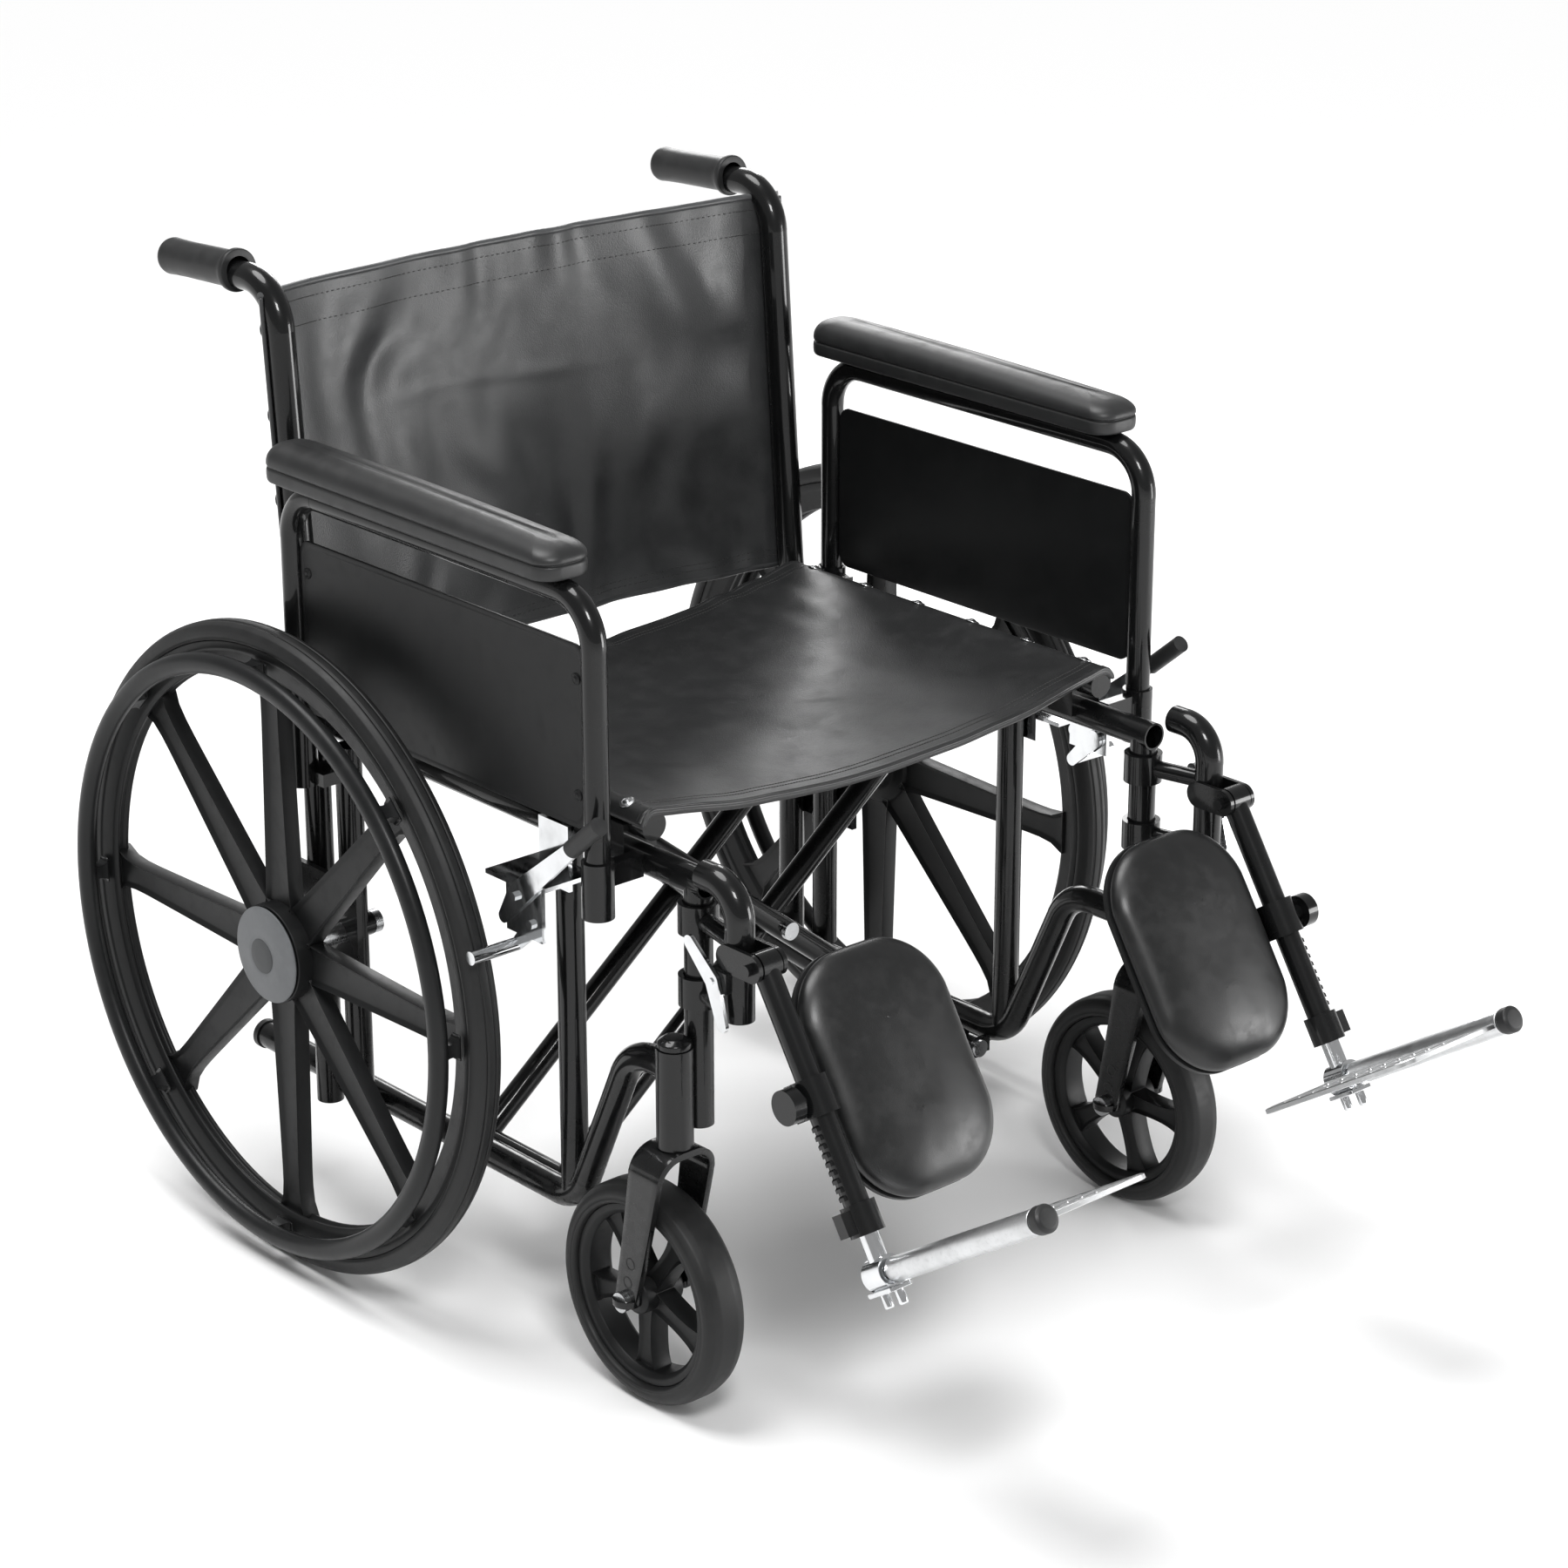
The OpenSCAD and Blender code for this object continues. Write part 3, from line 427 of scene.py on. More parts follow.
def stitches(path, name, pitch=0.0042, thread=0.00045):
    """A row of short thread loops along a path of points."""
    bm = bmesh.new()
    for a, b in zip(path, path[1:]):
        count = max(1, round((b - a).length / pitch))
        way = (b - a).normalized()
        turn = Vector((0, 0, 1)).rotation_difference(way).to_matrix().to_4x4()
        for i in range(count):
            spot = a.lerp(b, (i + 0.5) / count)
            bmesh.ops.create_cone(bm, cap_ends=True, segments=6, radius1=thread, radius2=thread,
                                  depth=pitch * 0.66, matrix=Matrix.Translation(spot) @ turn)
    return settle(bm, name)


def spread(count, low, high):
    """Evenly spaced numbers from low to high."""
    return [low + (high - low) * i / (count - 1) for i in range(count)]


seat_vinyl = grained_vinyl("seat_vinyl", 0.013, 0.33)
thread_finish = Finish("polyester_thread")
thread_finish.surface(base_color=grey(0.03), roughness=0.6 + thread_finish.noise(0.002) * 0.2)

SEAT_ACROSS, SEAT_ALONG = 180, 120
seat = cloth_sheet("seat_sling", seat_half, seat_y0, seat_y1, SEAT_ACROSS, SEAT_ALONG, seat_point, SEAT_SKIN)
place_piece(seat, seat_vinyl, "brace_b", "upholstery")
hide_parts("seat_left", "seat_right")

seat_trim = []
for end, y, inward in (("front", seat_y0, 1), ("rear", seat_y1, -1)):
    across = spread(90, -seat_half * 0.985, seat_half * 0.985)
    hem_path = [seat_point(s, y + inward * SEAT_HEM) - Vector((0, 0, SEAT_HEM * 0.45)) for s in across]
    hem = cord_along(hem_path, SEAT_HEM, f"seat_{end}_hem", 5)
    place_piece(hem, seat_vinyl, "brace_b", "upholstery")
    rows = [[seat_point(s, y + inward * d) + Vector((0, 0, SEAT_SKIN / 2)) for s in across]
            for d in (0.016, 0.022)]
    for number, row in enumerate(rows, 1):
        seam = stitches(row, f"seat_{end}_seam_{number}")
        place_piece(seam, thread_finish, "brace_b", "upholstery")
        seat_trim.append(seam)
    seat_trim.append(hem)

for piece in [seat] + seat_trim:
    piece.parent = None
    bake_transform(piece)


def turned(outline, corner=0.0, steps=64, closed=False, segments=3):
    """A bmesh spun round X from an outline of (along X, out from X) points, its corners rounded."""
    bm = bmesh.new()
    verts = [bm.verts.new((a, 0.0, r)) for a, r in outline]
    for first, second in zip(verts, verts[1:]):
        bm.edges.new((first, second))
    if closed:
        bm.edges.new((verts[-1], verts[0]))
    if corner:
        inner = verts if closed else verts[1:-1]
        bmesh.ops.bevel(bm, geom=inner, offset=corner, segments=segments, profile=0.5,
                        affect="VERTICES", material=-1)
    bmesh.ops.spin(bm, geom=list(bm.verts) + list(bm.edges), cent=(0, 0, 0), axis=(1, 0, 0),
                   angle=2 * pi, steps=steps, use_merge=True)
    return bm


def facing(place, way, turn=0.0):
    """The matrix that takes the origin to place and +X to way."""
    swing = Vector((1, 0, 0)).rotation_difference(Vector(way)).to_matrix().to_4x4()
    return Matrix.Translation(place) @ swing @ Matrix.Rotation(turn, 4, "X")


def finished(bm, matrix, name, angle, *placing):
    """Moves a bmesh to its place, and makes it a piece with edges sharp above angle degrees."""
    bmesh.ops.transform(bm, matrix=matrix, verts=bm.verts)
    piece = settle(bm, name)
    sharpen(piece, angle)
    return place_piece(piece, *placing)


def add(target, part, matrix):
    """Adds the shape of bmesh part to bmesh target, moved by matrix."""
    bmesh.ops.transform(part, matrix=matrix, verts=part.verts)
    scratch = bpy.data.meshes.new("scratch")
    part.to_mesh(scratch)
    part.free()
    target.from_mesh(scratch)
    bpy.data.meshes.remove(scratch)


def close_end(bm):
    """Closes a turned shape's open end with one face."""
    bmesh.ops.contextual_create(bm, geom=[e for e in bm.edges if e.is_boundary])


def dome_screw(head_r, head_h, washer_r):
    """A cross-recessed dome screw on a cup washer, its head towards +X."""
    bm = turned([(0, washer_r), (0.0007, washer_r * 0.98), (0.0014, head_r * 1.12), (0.0012, head_r),
                 (head_h * 0.7, head_r * 0.82), (head_h, head_r * 0.4), (head_h, 0)], 0.0002, 24)
    close_end(bm)
    return bm


def screw_row(name, places, ways, body, sizes=(0.0038, 0.0028, 0.0068), finish=zinc, slot="axle_steel"):
    """Dome screws as one piece of separate heads."""
    bm = bmesh.new()
    for place, way in zip(places, ways):
        add(bm, dome_screw(*sizes), facing(place, way))
    piece = settle(bm, name)
    sharpen(piece)
    return place_piece(piece, finish, body, slot)


SEAT_SCREWS = 6
for side, sign, body in (("left", 1, "brace_a"), ("right", -1, "brace_b")):
    lean = radians(22)
    way = Vector((sign * sin(lean), 0, cos(lean)))
    crown = wrap_r + SEAT_SKIN / 2 - 0.0002
    spots = [Vector((sign * rail_x, y, rail_z)) + way * crown
             for y in spread(SEAT_SCREWS, seat_y0 + 0.03, seat_y1 - 0.03)]
    screw_row(f"{side}_seat_screws", spots, [way] * SEAT_SCREWS, body)


# ---- Back sling ----
# A wider panel of the same vinyl. It passes behind the two back posts and wraps round them, where a row of
# screws holds it, and it bellies back between them. The top edge is piped.

BACK_SKIN = 0.0035
PIPE_R = 0.0032
POST_R = 0.0127

right_low, right_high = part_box("right_back")
left_low, left_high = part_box("left_back")
post_x = left_high.x + POST_R + 0.0003
BACK_LEAN = radians(4.4)
back_z0, back_z1 = right_low.z, right_high.z
lean_y = right_low.y + 0.003 * cos(BACK_LEAN)
back_length = (back_z1 - back_z0) / cos(BACK_LEAN)
back_wrap = POST_R + 0.0006 + BACK_SKIN / 2
BACK_BELLY = 0.030
BACK_WRAP_ANGLE = radians(75)
back_half = post_x + back_wrap * BACK_WRAP_ANGLE


def back_wrinkle(x, t):
    """Slack folds: upright ripples through the middle, pulls at the post screws and a faint level crease."""
    hold = max(0.0, 1 - (abs(x) / post_x) ** 10)
    up = t / back_length
    patchy = 0.25 + soft_noise(x, t, 0.12, 9.0) ** 2 * 4
    ripple = sin(x * 78 + soft_noise(x, t, 0.16, 2.0) * 7) * 0.0013 * patchy
    swell = soft_noise(x, t * 0.55, 0.085, 4.0) * 0.0048 + soft_noise(x, t * 0.4, 0.04, 6.0) * 0.0014
    pull = sin(t * 70 - abs(x) * 45) * 0.0016 * exp(-((post_x - abs(x)) / 0.05))
    crease_t = back_length * 0.66 + soft_noise(x, 0.0, 0.2, 1.0) * 0.02
    crease = -0.0007 * exp(-((t - crease_t) / 0.008) ** 2) * exp(-(x / 0.14) ** 4)
    corner = 0.004 * exp(-((post_x - x) / 0.06) ** 2) * exp(-((up - 0.22) / 0.12) ** 2) * sin(t * 95 + x * 60)
    return hold * (ripple + swell + pull + crease + corner)


def back_point(s, t):
    """The middle of the panel's skin, s metres across and t metres up from its lower edge."""
    if abs(s) <= post_x:
        belly = BACK_BELLY * (1 - (s / post_x) ** 2)
        x, depth = s, back_wrap + belly + back_wrinkle(s, t)
    else:
        turn = (abs(s) - post_x) / back_wrap
        x = (1 if s > 0 else -1) * (post_x + back_wrap * sin(turn))
        depth = back_wrap * cos(turn)
    return Vector((x, lean_y + t * sin(BACK_LEAN) + depth * cos(BACK_LEAN),
                   back_z0 + t * cos(BACK_LEAN) - depth * sin(BACK_LEAN)))


# The back panel is the seat's vinyl at about twice the seat's base level; the extra lightness is painted sheen.
sheen_lit_back_vinyl = grained_vinyl("sheen_lit_back_vinyl", 0.028, 0.34)
# The piping is the same vinyl made lighter still, as a painted highlight along the top edge.
highlight_piping_vinyl = grained_vinyl("highlight_piping_vinyl", 0.055, 0.32)
BACK_ACROSS, BACK_ALONG = 190, 130
back = cloth_sheet("back_sling", back_half, 0.0, back_length, BACK_ACROSS, BACK_ALONG, back_point, BACK_SKIN)

across = spread(100, -back_half * 0.99, back_half * 0.99)
top_pipe = cord_along([back_point(s, back_length + PIPE_R * 0.4) for s in across], PIPE_R, "back_top_piping", 5)
low_hem = cord_along([back_point(s, PIPE_R * 0.6) for s in across], PIPE_R, "back_lower_hem", 5)
back_rows = []
for number, t in enumerate((0.012, 0.018, back_length - 0.011, back_length - 0.034), 1):
    row = [back_point(s, t) - Vector((0, BACK_SKIN / 2, 0)) for s in across]
    back_rows.append(stitches(row, f"back_seam_{number}"))

for piece, finish in [(back, sheen_lit_back_vinyl), (top_pipe, highlight_piping_vinyl), (low_hem, sheen_lit_back_vinyl)] + [
        (row, thread_finish) for row in back_rows]:
    place_piece(piece, finish, "right_frame", "upholstery")
    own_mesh(piece)
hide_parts("right_back", "left_back")

BACK_SCREWS = 5
for side, sign in SIDES:
    way = Vector((sign * sin(radians(25)), cos(radians(25)), -sin(BACK_LEAN)))
    spots = []
    for t in spread(BACK_SCREWS, 0.03, back_length - 0.03):
        axis_point = Vector((sign * post_x, lean_y + t * sin(BACK_LEAN), back_z0 + t * cos(BACK_LEAN)))
        spots.append(axis_point + way.normalized() * (back_wrap + BACK_SKIN / 2 - 0.0002))
    screw_row(f"{side}_back_screws", spots, [way] * BACK_SCREWS, f"{side}_frame")


# ---- Arm pads ----
# Moulded foam with an integral skin: a flat band round the base, a parting groove and a crowned top that
# runs down towards the front. Two screws hold each pad to its arm tube from below; they are not drawn.

def footprint(bm, width, length, corner, segments=48):
    """A rounded rectangle of edges: a circle whose quarters are moved apart."""
    made = bmesh.ops.create_circle(bm, cap_ends=False, segments=segments, radius=corner)
    for vert in made["verts"]:
        for k, room in ((0, width / 2 - corner), (1, length / 2 - corner)):
            if abs(vert.co[k]) > 1e-6:
                vert.co[k] += room if vert.co[k] > 0 else -room
    return list(bm.edges)


def lofted(width, length, corner, levels, segments=48):
    """A closed bmesh that rises through levels of (height, inset), with a cap at each end."""
    bm = bmesh.new()
    ring = footprint(bm, width, length, corner, segments)
    bmesh.ops.contextual_create(bm, geom=ring)
    height, inset = levels[0]
    scale = Vector(((width - 2 * inset) / width, (length - 2 * inset) / length, 1))
    verts = list(bm.verts)
    bmesh.ops.scale(bm, vec=scale, verts=verts)
    bmesh.ops.translate(bm, vec=(0, 0, height), verts=verts)
    edges = list(bm.edges)
    for level, next_inset in levels[1:]:
        out = bmesh.ops.extrude_edge_only(bm, edges=edges)["geom"]
        verts = [g for g in out if isinstance(g, bmesh.types.BMVert)]
        edges = [g for g in out if isinstance(g, bmesh.types.BMEdge)]
        factor = Vector(((width - 2 * next_inset) / (width - 2 * inset),
                         (length - 2 * next_inset) / (length - 2 * inset), 1))
        bmesh.ops.scale(bm, vec=factor, verts=verts)
        bmesh.ops.translate(bm, vec=(0, 0, level - height), verts=verts)
        height, inset = level, next_inset
    bmesh.ops.contextual_create(bm, geom=edges)
    return bm


def subdivided(piece, levels):
    smooth = piece.modifiers.new("smooth", "SUBSURF")
    smooth.levels = levels
    smooth.render_levels = levels
    return with_modifiers(piece)


PAD_LEVELS = ((0.0, 0.0032), (0.0006, 0.0012), (0.003, 0.0), (0.0115, 0.0), (0.0128, 0.0006),
              (0.0134, 0.0019), (0.0142, 0.0019), (0.0148, 0.0006), (0.016, 0.0), (0.021, 0.0002),
              (0.0262, 0.0022), (0.0305, 0.0062), (0.0336, 0.0118), (0.0352, 0.0185), (0.0358, 0.024))


def skin_vinyl(name, level, gloss):
    """Smooth moulded skin with a very fine grain and handling marks."""
    f = Finish(name)
    grain = f.cells(0.0007, "F1")
    rub = f.noise(0.02, 5.0, 0.6).between(0.45, 0.75)
    cloud = f.noise(0.09, 3.0).between(0.3, 0.7)
    f.surface(base_color=f.mixed(grey(level * 0.85, 0.03), grey(level * 1.5, 0.02), cloud * 0.6 + rub * 0.3),
              roughness=gloss + rub * 0.14 + grain * 0.06, normal=f.bumped(grain, 0.00009, 0.4))
    f.surface(specular_ior_level=0.5)
    return f


pad_skin = skin_vinyl("arm_pad_skin", 0.014, 0.4)
FRONT_DROP = 0.0085
for side, sign in SIDES:
    low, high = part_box(f"{side}_arm_pad")
    size = high - low
    centre = (low + high) / 2
    bm = lofted(size.x, size.y, 0.021, PAD_LEVELS, 64)
    for vert in bm.verts:
        ahead = max(0.0, (-vert.co.y - size.y * 0.18) / (size.y * 0.32))
        above = max(0.0, (vert.co.z - 0.015) / 0.021)
        vert.co.z -= FRONT_DROP * min(1.0, ahead) ** 2 * above
        vert.co.x *= 1 - 0.06 * max(0.0, (vert.co.y - size.y * 0.3) / (size.y * 0.2)) ** 2
        vert.co.z += 0.0006 * above * soft_noise(vert.co.x, vert.co.y, 0.05, 2.0)
    bmesh.ops.translate(bm, vec=(centre.x, centre.y, low.z), verts=bm.verts)
    pad = subdivided(settle(bm, f"{side}_arm_cushion"), 2)
    place_piece(pad, pad_skin, f"{side}_arm", "pad_vinyl")
    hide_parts(f"{side}_arm_pad")


# ---- Side panels ----
# A flat plastic sheet with rounded corners and a turned rim, held inside each arm frame by two screws at
# the front post and two at the rear one.

def moulded_plastic(name, level, gloss, grain=0.0009, depth=0.00008):
    """Satin moulded plastic with a spark-eroded grain and faint flow clouds."""
    f = Finish(name)
    spark = f.noise(grain, 2.0)
    flow = f.noise(0.07, 4.0, 0.6).between(0.35, 0.7)
    rub = f.noise(0.014, 5.0, 0.65).between(0.5, 0.75)
    f.surface(base_color=f.mixed(grey(level * 0.85, 0.04), grey(level * 1.4, 0.03), flow * 0.5 + rub * 0.25),
              roughness=gloss + flow * 0.07 + rub * 0.1, normal=f.bumped(spark, depth, 0.45))
    f.surface(specular_ior_level=0.24)
    return f


panel_plastic = moulded_plastic("side_panel_plastic", 0.008, 0.34, 0.0013, 0.00005)
PANEL_LEVELS = ((0.0, 0.0009), (0.0002, 0.0003), (0.0007, 0.0), (0.0023, 0.0), (0.0028, 0.0003),
                (0.003, 0.0009), (0.003, 0.0042), (0.0026, 0.005), (0.0026, 0.006))
for side, sign in SIDES:
    low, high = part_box(f"{side}_side_panel")
    size = high - low
    centre = (low + high) / 2
    bm = lofted(size.y, size.z, 0.014, PANEL_LEVELS, 48)
    upright = Matrix(((0, 0, sign, 0), (1, 0, 0, 0), (0, 1, 0, 0), (0, 0, 0, 1)))
    inner_face = Matrix.Translation((centre.x - sign * size.x / 2, centre.y, centre.z))
    panel = finished(bm, inner_face @ upright, f"{side}_skirt_panel", 30,
                     panel_plastic, f"{side}_arm", "panel_plastic")
    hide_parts(f"{side}_side_panel")
    spots = [Vector((centre.x + sign * size.x / 2 - sign * 0.0004, y, z))
             for y in (low.y + 0.011, high.y - 0.011) for z in (low.z + 0.03, high.z - 0.03)]
    screw_row(f"{side}_panel_rivets", spots, [(sign, 0, 0)] * 4, f"{side}_arm", (0.0034, 0.0022, 0.0052),
              panel_plastic, "panel_plastic")


# ---- Rear wheels ----
# One moulding of glass-filled nylon: a channelled rim, eight spokes that flare into it, and a hub. Each
# spoke is a shallow channel with a rim of its own, so it is stiff and light.

WHEEL_SPOKES = 8
nylon = moulded_plastic("glass_filled_nylon", 0.0085, 0.4, 0.0011, 0.00007)


def spoke(root_r, tip_r, root_w, tip_w, thick, flare_root, flare_tip, channel, rows=14):
    """A flat bar along +Z, thick along X, that widens into the hub and the rim, with a channel in each face."""
    bm = bmesh.new()
    bmesh.ops.create_cube(bm, size=1.0)
    uprights = [e for e in bm.edges if abs(e.verts[0].co.z - e.verts[1].co.z) > 0.5]
    bmesh.ops.subdivide_edges(bm, edges=uprights, cuts=rows, use_grid_fill=True)
    for vert in bm.verts:
        up = vert.co.z + 0.5
        r = root_r + (tip_r - root_r) * up
        width = root_w + (tip_w - root_w) * up
        width += flare_root * exp(-(r - root_r) / 0.012) + flare_tip * exp(-((tip_r - r) / 0.012))
        vert.co = Vector((vert.co.x * thick, vert.co.y * width, r))
    faces = [f for f in bm.faces if abs(f.normal.x) > 0.9]
    if not faces:
        bm.normal_update()
        faces = [f for f in bm.faces if abs(f.normal.x) > 0.9]
    for sign in (-1, 1):
        side = [f for f in faces if f.is_valid and f.calc_center_median().x * sign > 0]
        bmesh.ops.inset_region(bm, faces=side, thickness=channel[0], depth=-channel[1], use_even_offset=True)
    sharp = [e for e in bm.edges if len(e.link_faces) == 2 and e.calc_face_angle() > radians(35)]
    bmesh.ops.bevel(bm, geom=sharp, offset=0.0011, segments=2, profile=0.5, affect="EDGES", material=-1)
    return bm


RIM_W = 0.025
for side, sign in SIDES:
    tyre_low, tyre_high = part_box(f"{side}_rear_tyre")
    wheel_low, wheel_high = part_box(f"{side}_rear_wheel")
    cap_low, cap_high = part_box(f"{side}_hub_cap")
    centre = (tyre_low + tyre_high) / 2
    rim_r = (wheel_high.y - wheel_low.y) / 2
    out = facing(centre, (sign, 0, 0))
    h = RIM_W / 2
    bm = turned([(-h, rim_r), (h, rim_r), (h, rim_r - 0.007), (h - 0.0015, rim_r - 0.009),
                 (h - 0.004, rim_r - 0.023), (h - 0.0065, rim_r - 0.027), (h - 0.009, rim_r - 0.027),
                 (h - 0.0105, rim_r - 0.0245),
                 (-h + 0.0105, rim_r - 0.0245), (-h + 0.009, rim_r - 0.027), (-h + 0.0065, rim_r - 0.027),
                 (-h + 0.004, rim_r - 0.023), (-h + 0.0015, rim_r - 0.009), (-h, rim_r - 0.007)],
                0.0012, 144, True)
    for i in range(WHEEL_SPOKES):
        part = spoke(0.036, rim_r - 0.0215, 0.037, 0.022, 0.017, 0.004, 0.022, (0.0042, 0.0042))
        add(bm, part, Matrix.Translation((-0.0035, 0, 0)) @ Matrix.Rotation(2 * pi * i / WHEEL_SPOKES, 4, "X"))
    hub_r = (cap_high.y - cap_low.y) / 2 + 0.001
    hub_out = abs(cap_low.x - centre.x) if sign > 0 else abs(cap_high.x - centre.x)
    hub_in = -(centre.x - wheel_low.x) if sign > 0 else -(wheel_high.x - centre.x)
    add(bm, turned([(hub_in, 0.0072), (hub_in, 0.026), (hub_in + 0.008, 0.029), (hub_in + 0.009, hub_r - 0.004),
                    (-0.004, hub_r), (hub_out + 0.0035, hub_r), (hub_out + 0.0035, hub_r - 0.0042),
                    (hub_out - 0.012, hub_r - 0.0046), (hub_out - 0.0125, 0.0072)], 0.0012, 96, True),
        Matrix.Identity(4))
    wheel = finished(bm, out, f"{side}_spoked_wheel", 32, nylon, f"{side}_rear_wheel", "wheel_plastic")
    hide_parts(f"{side}_rear_wheel")


# ---- Rear tyres ----
# Solid grey-black urethane, pressed onto the rim, with a crowned tread, two shallow grooves and a moulding
# flash at the shoulder.

def rubber(name, level, gloss, worn=0.0):
    """Matt rubber with a dusty bloom, paler on the tread where worn is above 0."""
    f = Finish(name)
    bloom = f.noise(0.018, 5.0, 0.65).between(0.42, 0.75)
    grain = f.noise(0.0008, 3.0)
    dust = f.noise(0.006, 6.0, 0.7).between(0.55, 0.8)
    f.surface(base_color=f.mixed(grey(level, 0.02), grey(level * 2.1, 0.0), bloom * 0.4 + dust * worn),
              roughness=gloss + bloom * 0.12 + dust * worn * 0.4, normal=f.bumped(grain, 0.00012, 0.5))
    f.surface(specular_ior_level=0.3)
    return f


tyre_rubber = rubber("tyre_rubber", 0.011, 0.46, 0.25)


def tyre_outline(width, seat_r, crown_r, shoulder, groove_w, groove_d):
    """The right half of a tyre's section and its mirror, from the rim seat over the crown."""
    half = width / 2
    right = [(half * 0.84, seat_r), (half * 0.98, seat_r + 0.0022), (half, seat_r + shoulder * 0.55),
             (half * 0.93, seat_r + shoulder), (half * 0.78, crown_r - (crown_r - seat_r) * 0.2),
             (half * 0.5, crown_r - (crown_r - seat_r) * 0.055)]
    groove = half * 0.3
    right += [(groove + groove_w, crown_r - 0.0004), (groove + groove_w * 0.6, crown_r - groove_d),
              (groove - groove_w * 0.6, crown_r - groove_d), (groove - groove_w, crown_r)]
    return right + [(-a, r) for a, r in reversed(right)]


for side, sign in SIDES:
    low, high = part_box(f"{side}_rear_tyre")
    centre = (low + high) / 2
    crown = (high.y - low.y) / 2
    wheel_low, wheel_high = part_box(f"{side}_rear_wheel")
    seat_r = (wheel_high.y - wheel_low.y) / 2
    bm = turned(tyre_outline(high.x - low.x, seat_r, crown, 0.009, 0.0011, 0.0009), 0.0009, 160, True)
    tyre = finished(bm, facing(centre, (sign, 0, 0)), f"{side}_solid_tyre", 40,
                    tyre_rubber, f"{side}_rear_wheel", "tyre")
    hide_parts(f"{side}_rear_tyre")


# ---- Handrims ----
# A moulded oval ring that the sitter pushes, on eight short webs off the wheel's rim, one at each spoke.

rim_plastic = moulded_plastic("handrim_plastic", 0.0105, 0.33, 0.0012, 0.00004)
RING_W, RING_H = 0.0165, 0.0195
for side, sign in SIDES:
    low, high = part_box(f"{side}_handrim")
    centre = (low + high) / 2
    ring_r = (high.y - low.y) / 2 - RING_H / 2
    outer = max(abs(low.x), abs(high.x))
    inner = min(abs(low.x), abs(high.x))
    ring_x = outer - RING_W / 2
    oval = [(RING_W / 2 * cos(a), ring_r + RING_H / 2 * sin(a)) for a in spread(25, 0, 2 * pi)[:-1]]
    bm = turned([(a + ring_x, r) for a, r in oval], 0.0, 144, True)
    for i in range(WHEEL_SPOKES):
        turn = Matrix.Rotation(2 * pi * i / WHEEL_SPOKES, 4, "X")
        part = bmesh.new()
        bmesh.ops.create_cube(part, size=1.0)
        lengthwise = [e for e in part.edges if abs((e.verts[0].co - e.verts[1].co).x) > 0.5]
        bmesh.ops.subdivide_edges(part, edges=lengthwise, cuts=6)
        reach = ring_x - inner
        for vert in part.verts:
            along = vert.co.x + 0.5
            pinch = 1 - 0.36 * sin(pi * along) ** 0.8
            vert.co = Vector((inner + reach * along, vert.co.y * 0.026 * pinch,
                              ring_r + vert.co.z * 0.0135 * (1 - 0.18 * sin(pi * along))))
        bmesh.ops.bevel(part, geom=[e for e in part.edges if e.calc_face_angle(0) > radians(35)], offset=0.0022,
                        segments=3, profile=0.5, affect="EDGES", material=-1)
        add(bm, part, turn)
    mirror = Matrix.Translation((0, centre.y, centre.z)) @ Matrix.Scale(sign, 4, (1, 0, 0))
    ring = finished(bm, mirror, f"{side}_push_ring", 40,
                    rim_plastic, f"{side}_rear_wheel", "handrim_plastic")
    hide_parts(f"{side}_handrim")


# ---- Hub caps ----
# A grey snap-in plastic cap: a shallow dome with a raised darker boss in the middle.

cap_grey = moulded_plastic("hub_cap_grey", 0.15, 0.42, 0.0008, 0.00006)
boss_grey = moulded_plastic("hub_boss_grey", 0.06, 0.4, 0.0008, 0.00006)
BOSS_R = 0.0165
for side, sign in SIDES:
    low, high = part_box(f"{side}_hub_cap")
    centre = (low + high) / 2
    base = low.x if sign > 0 else high.x
    lift = (high.x - low.x) - 0.005
    edge_r = (high.y - low.y) / 2
    rise = 0.005
    dome = [(rise - 0.005, edge_r - 0.0075), (rise - 0.005, edge_r - 0.0045), (rise, edge_r - 0.0045),
            (rise, edge_r), (rise + 0.0022, edge_r + 0.0002), (rise + lift * 0.55, edge_r * 0.86),
            (rise + lift * 0.84, edge_r * 0.62), (rise + lift * 0.95, BOSS_R + 0.003),
            (rise + lift * 0.9, BOSS_R + 0.0012), (rise + lift * 0.9, 0.0)]
    bm = turned(dome, 0.0012, 96)
    close_end(bm)
    cap = finished(bm, facing((base, centre.y, centre.z), (sign, 0, 0)), f"{side}_hub_dome", 40,
                   cap_grey, f"{side}_rear_wheel", "hub_cap_plastic")
    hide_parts(f"{side}_hub_cap")
    bm = turned([(rise + lift * 0.8, BOSS_R), (rise + lift, BOSS_R - 0.0004),
                 (rise + lift * 1.08, BOSS_R * 0.5), (rise + lift * 1.1, 0.0)], 0.0006, 64)
    close_end(bm)
    finished(bm, facing((base, centre.y, centre.z), (sign, 0, 0)), f"{side}_hub_boss", 40,
             boss_grey, f"{side}_rear_wheel", "hub_cap_plastic")
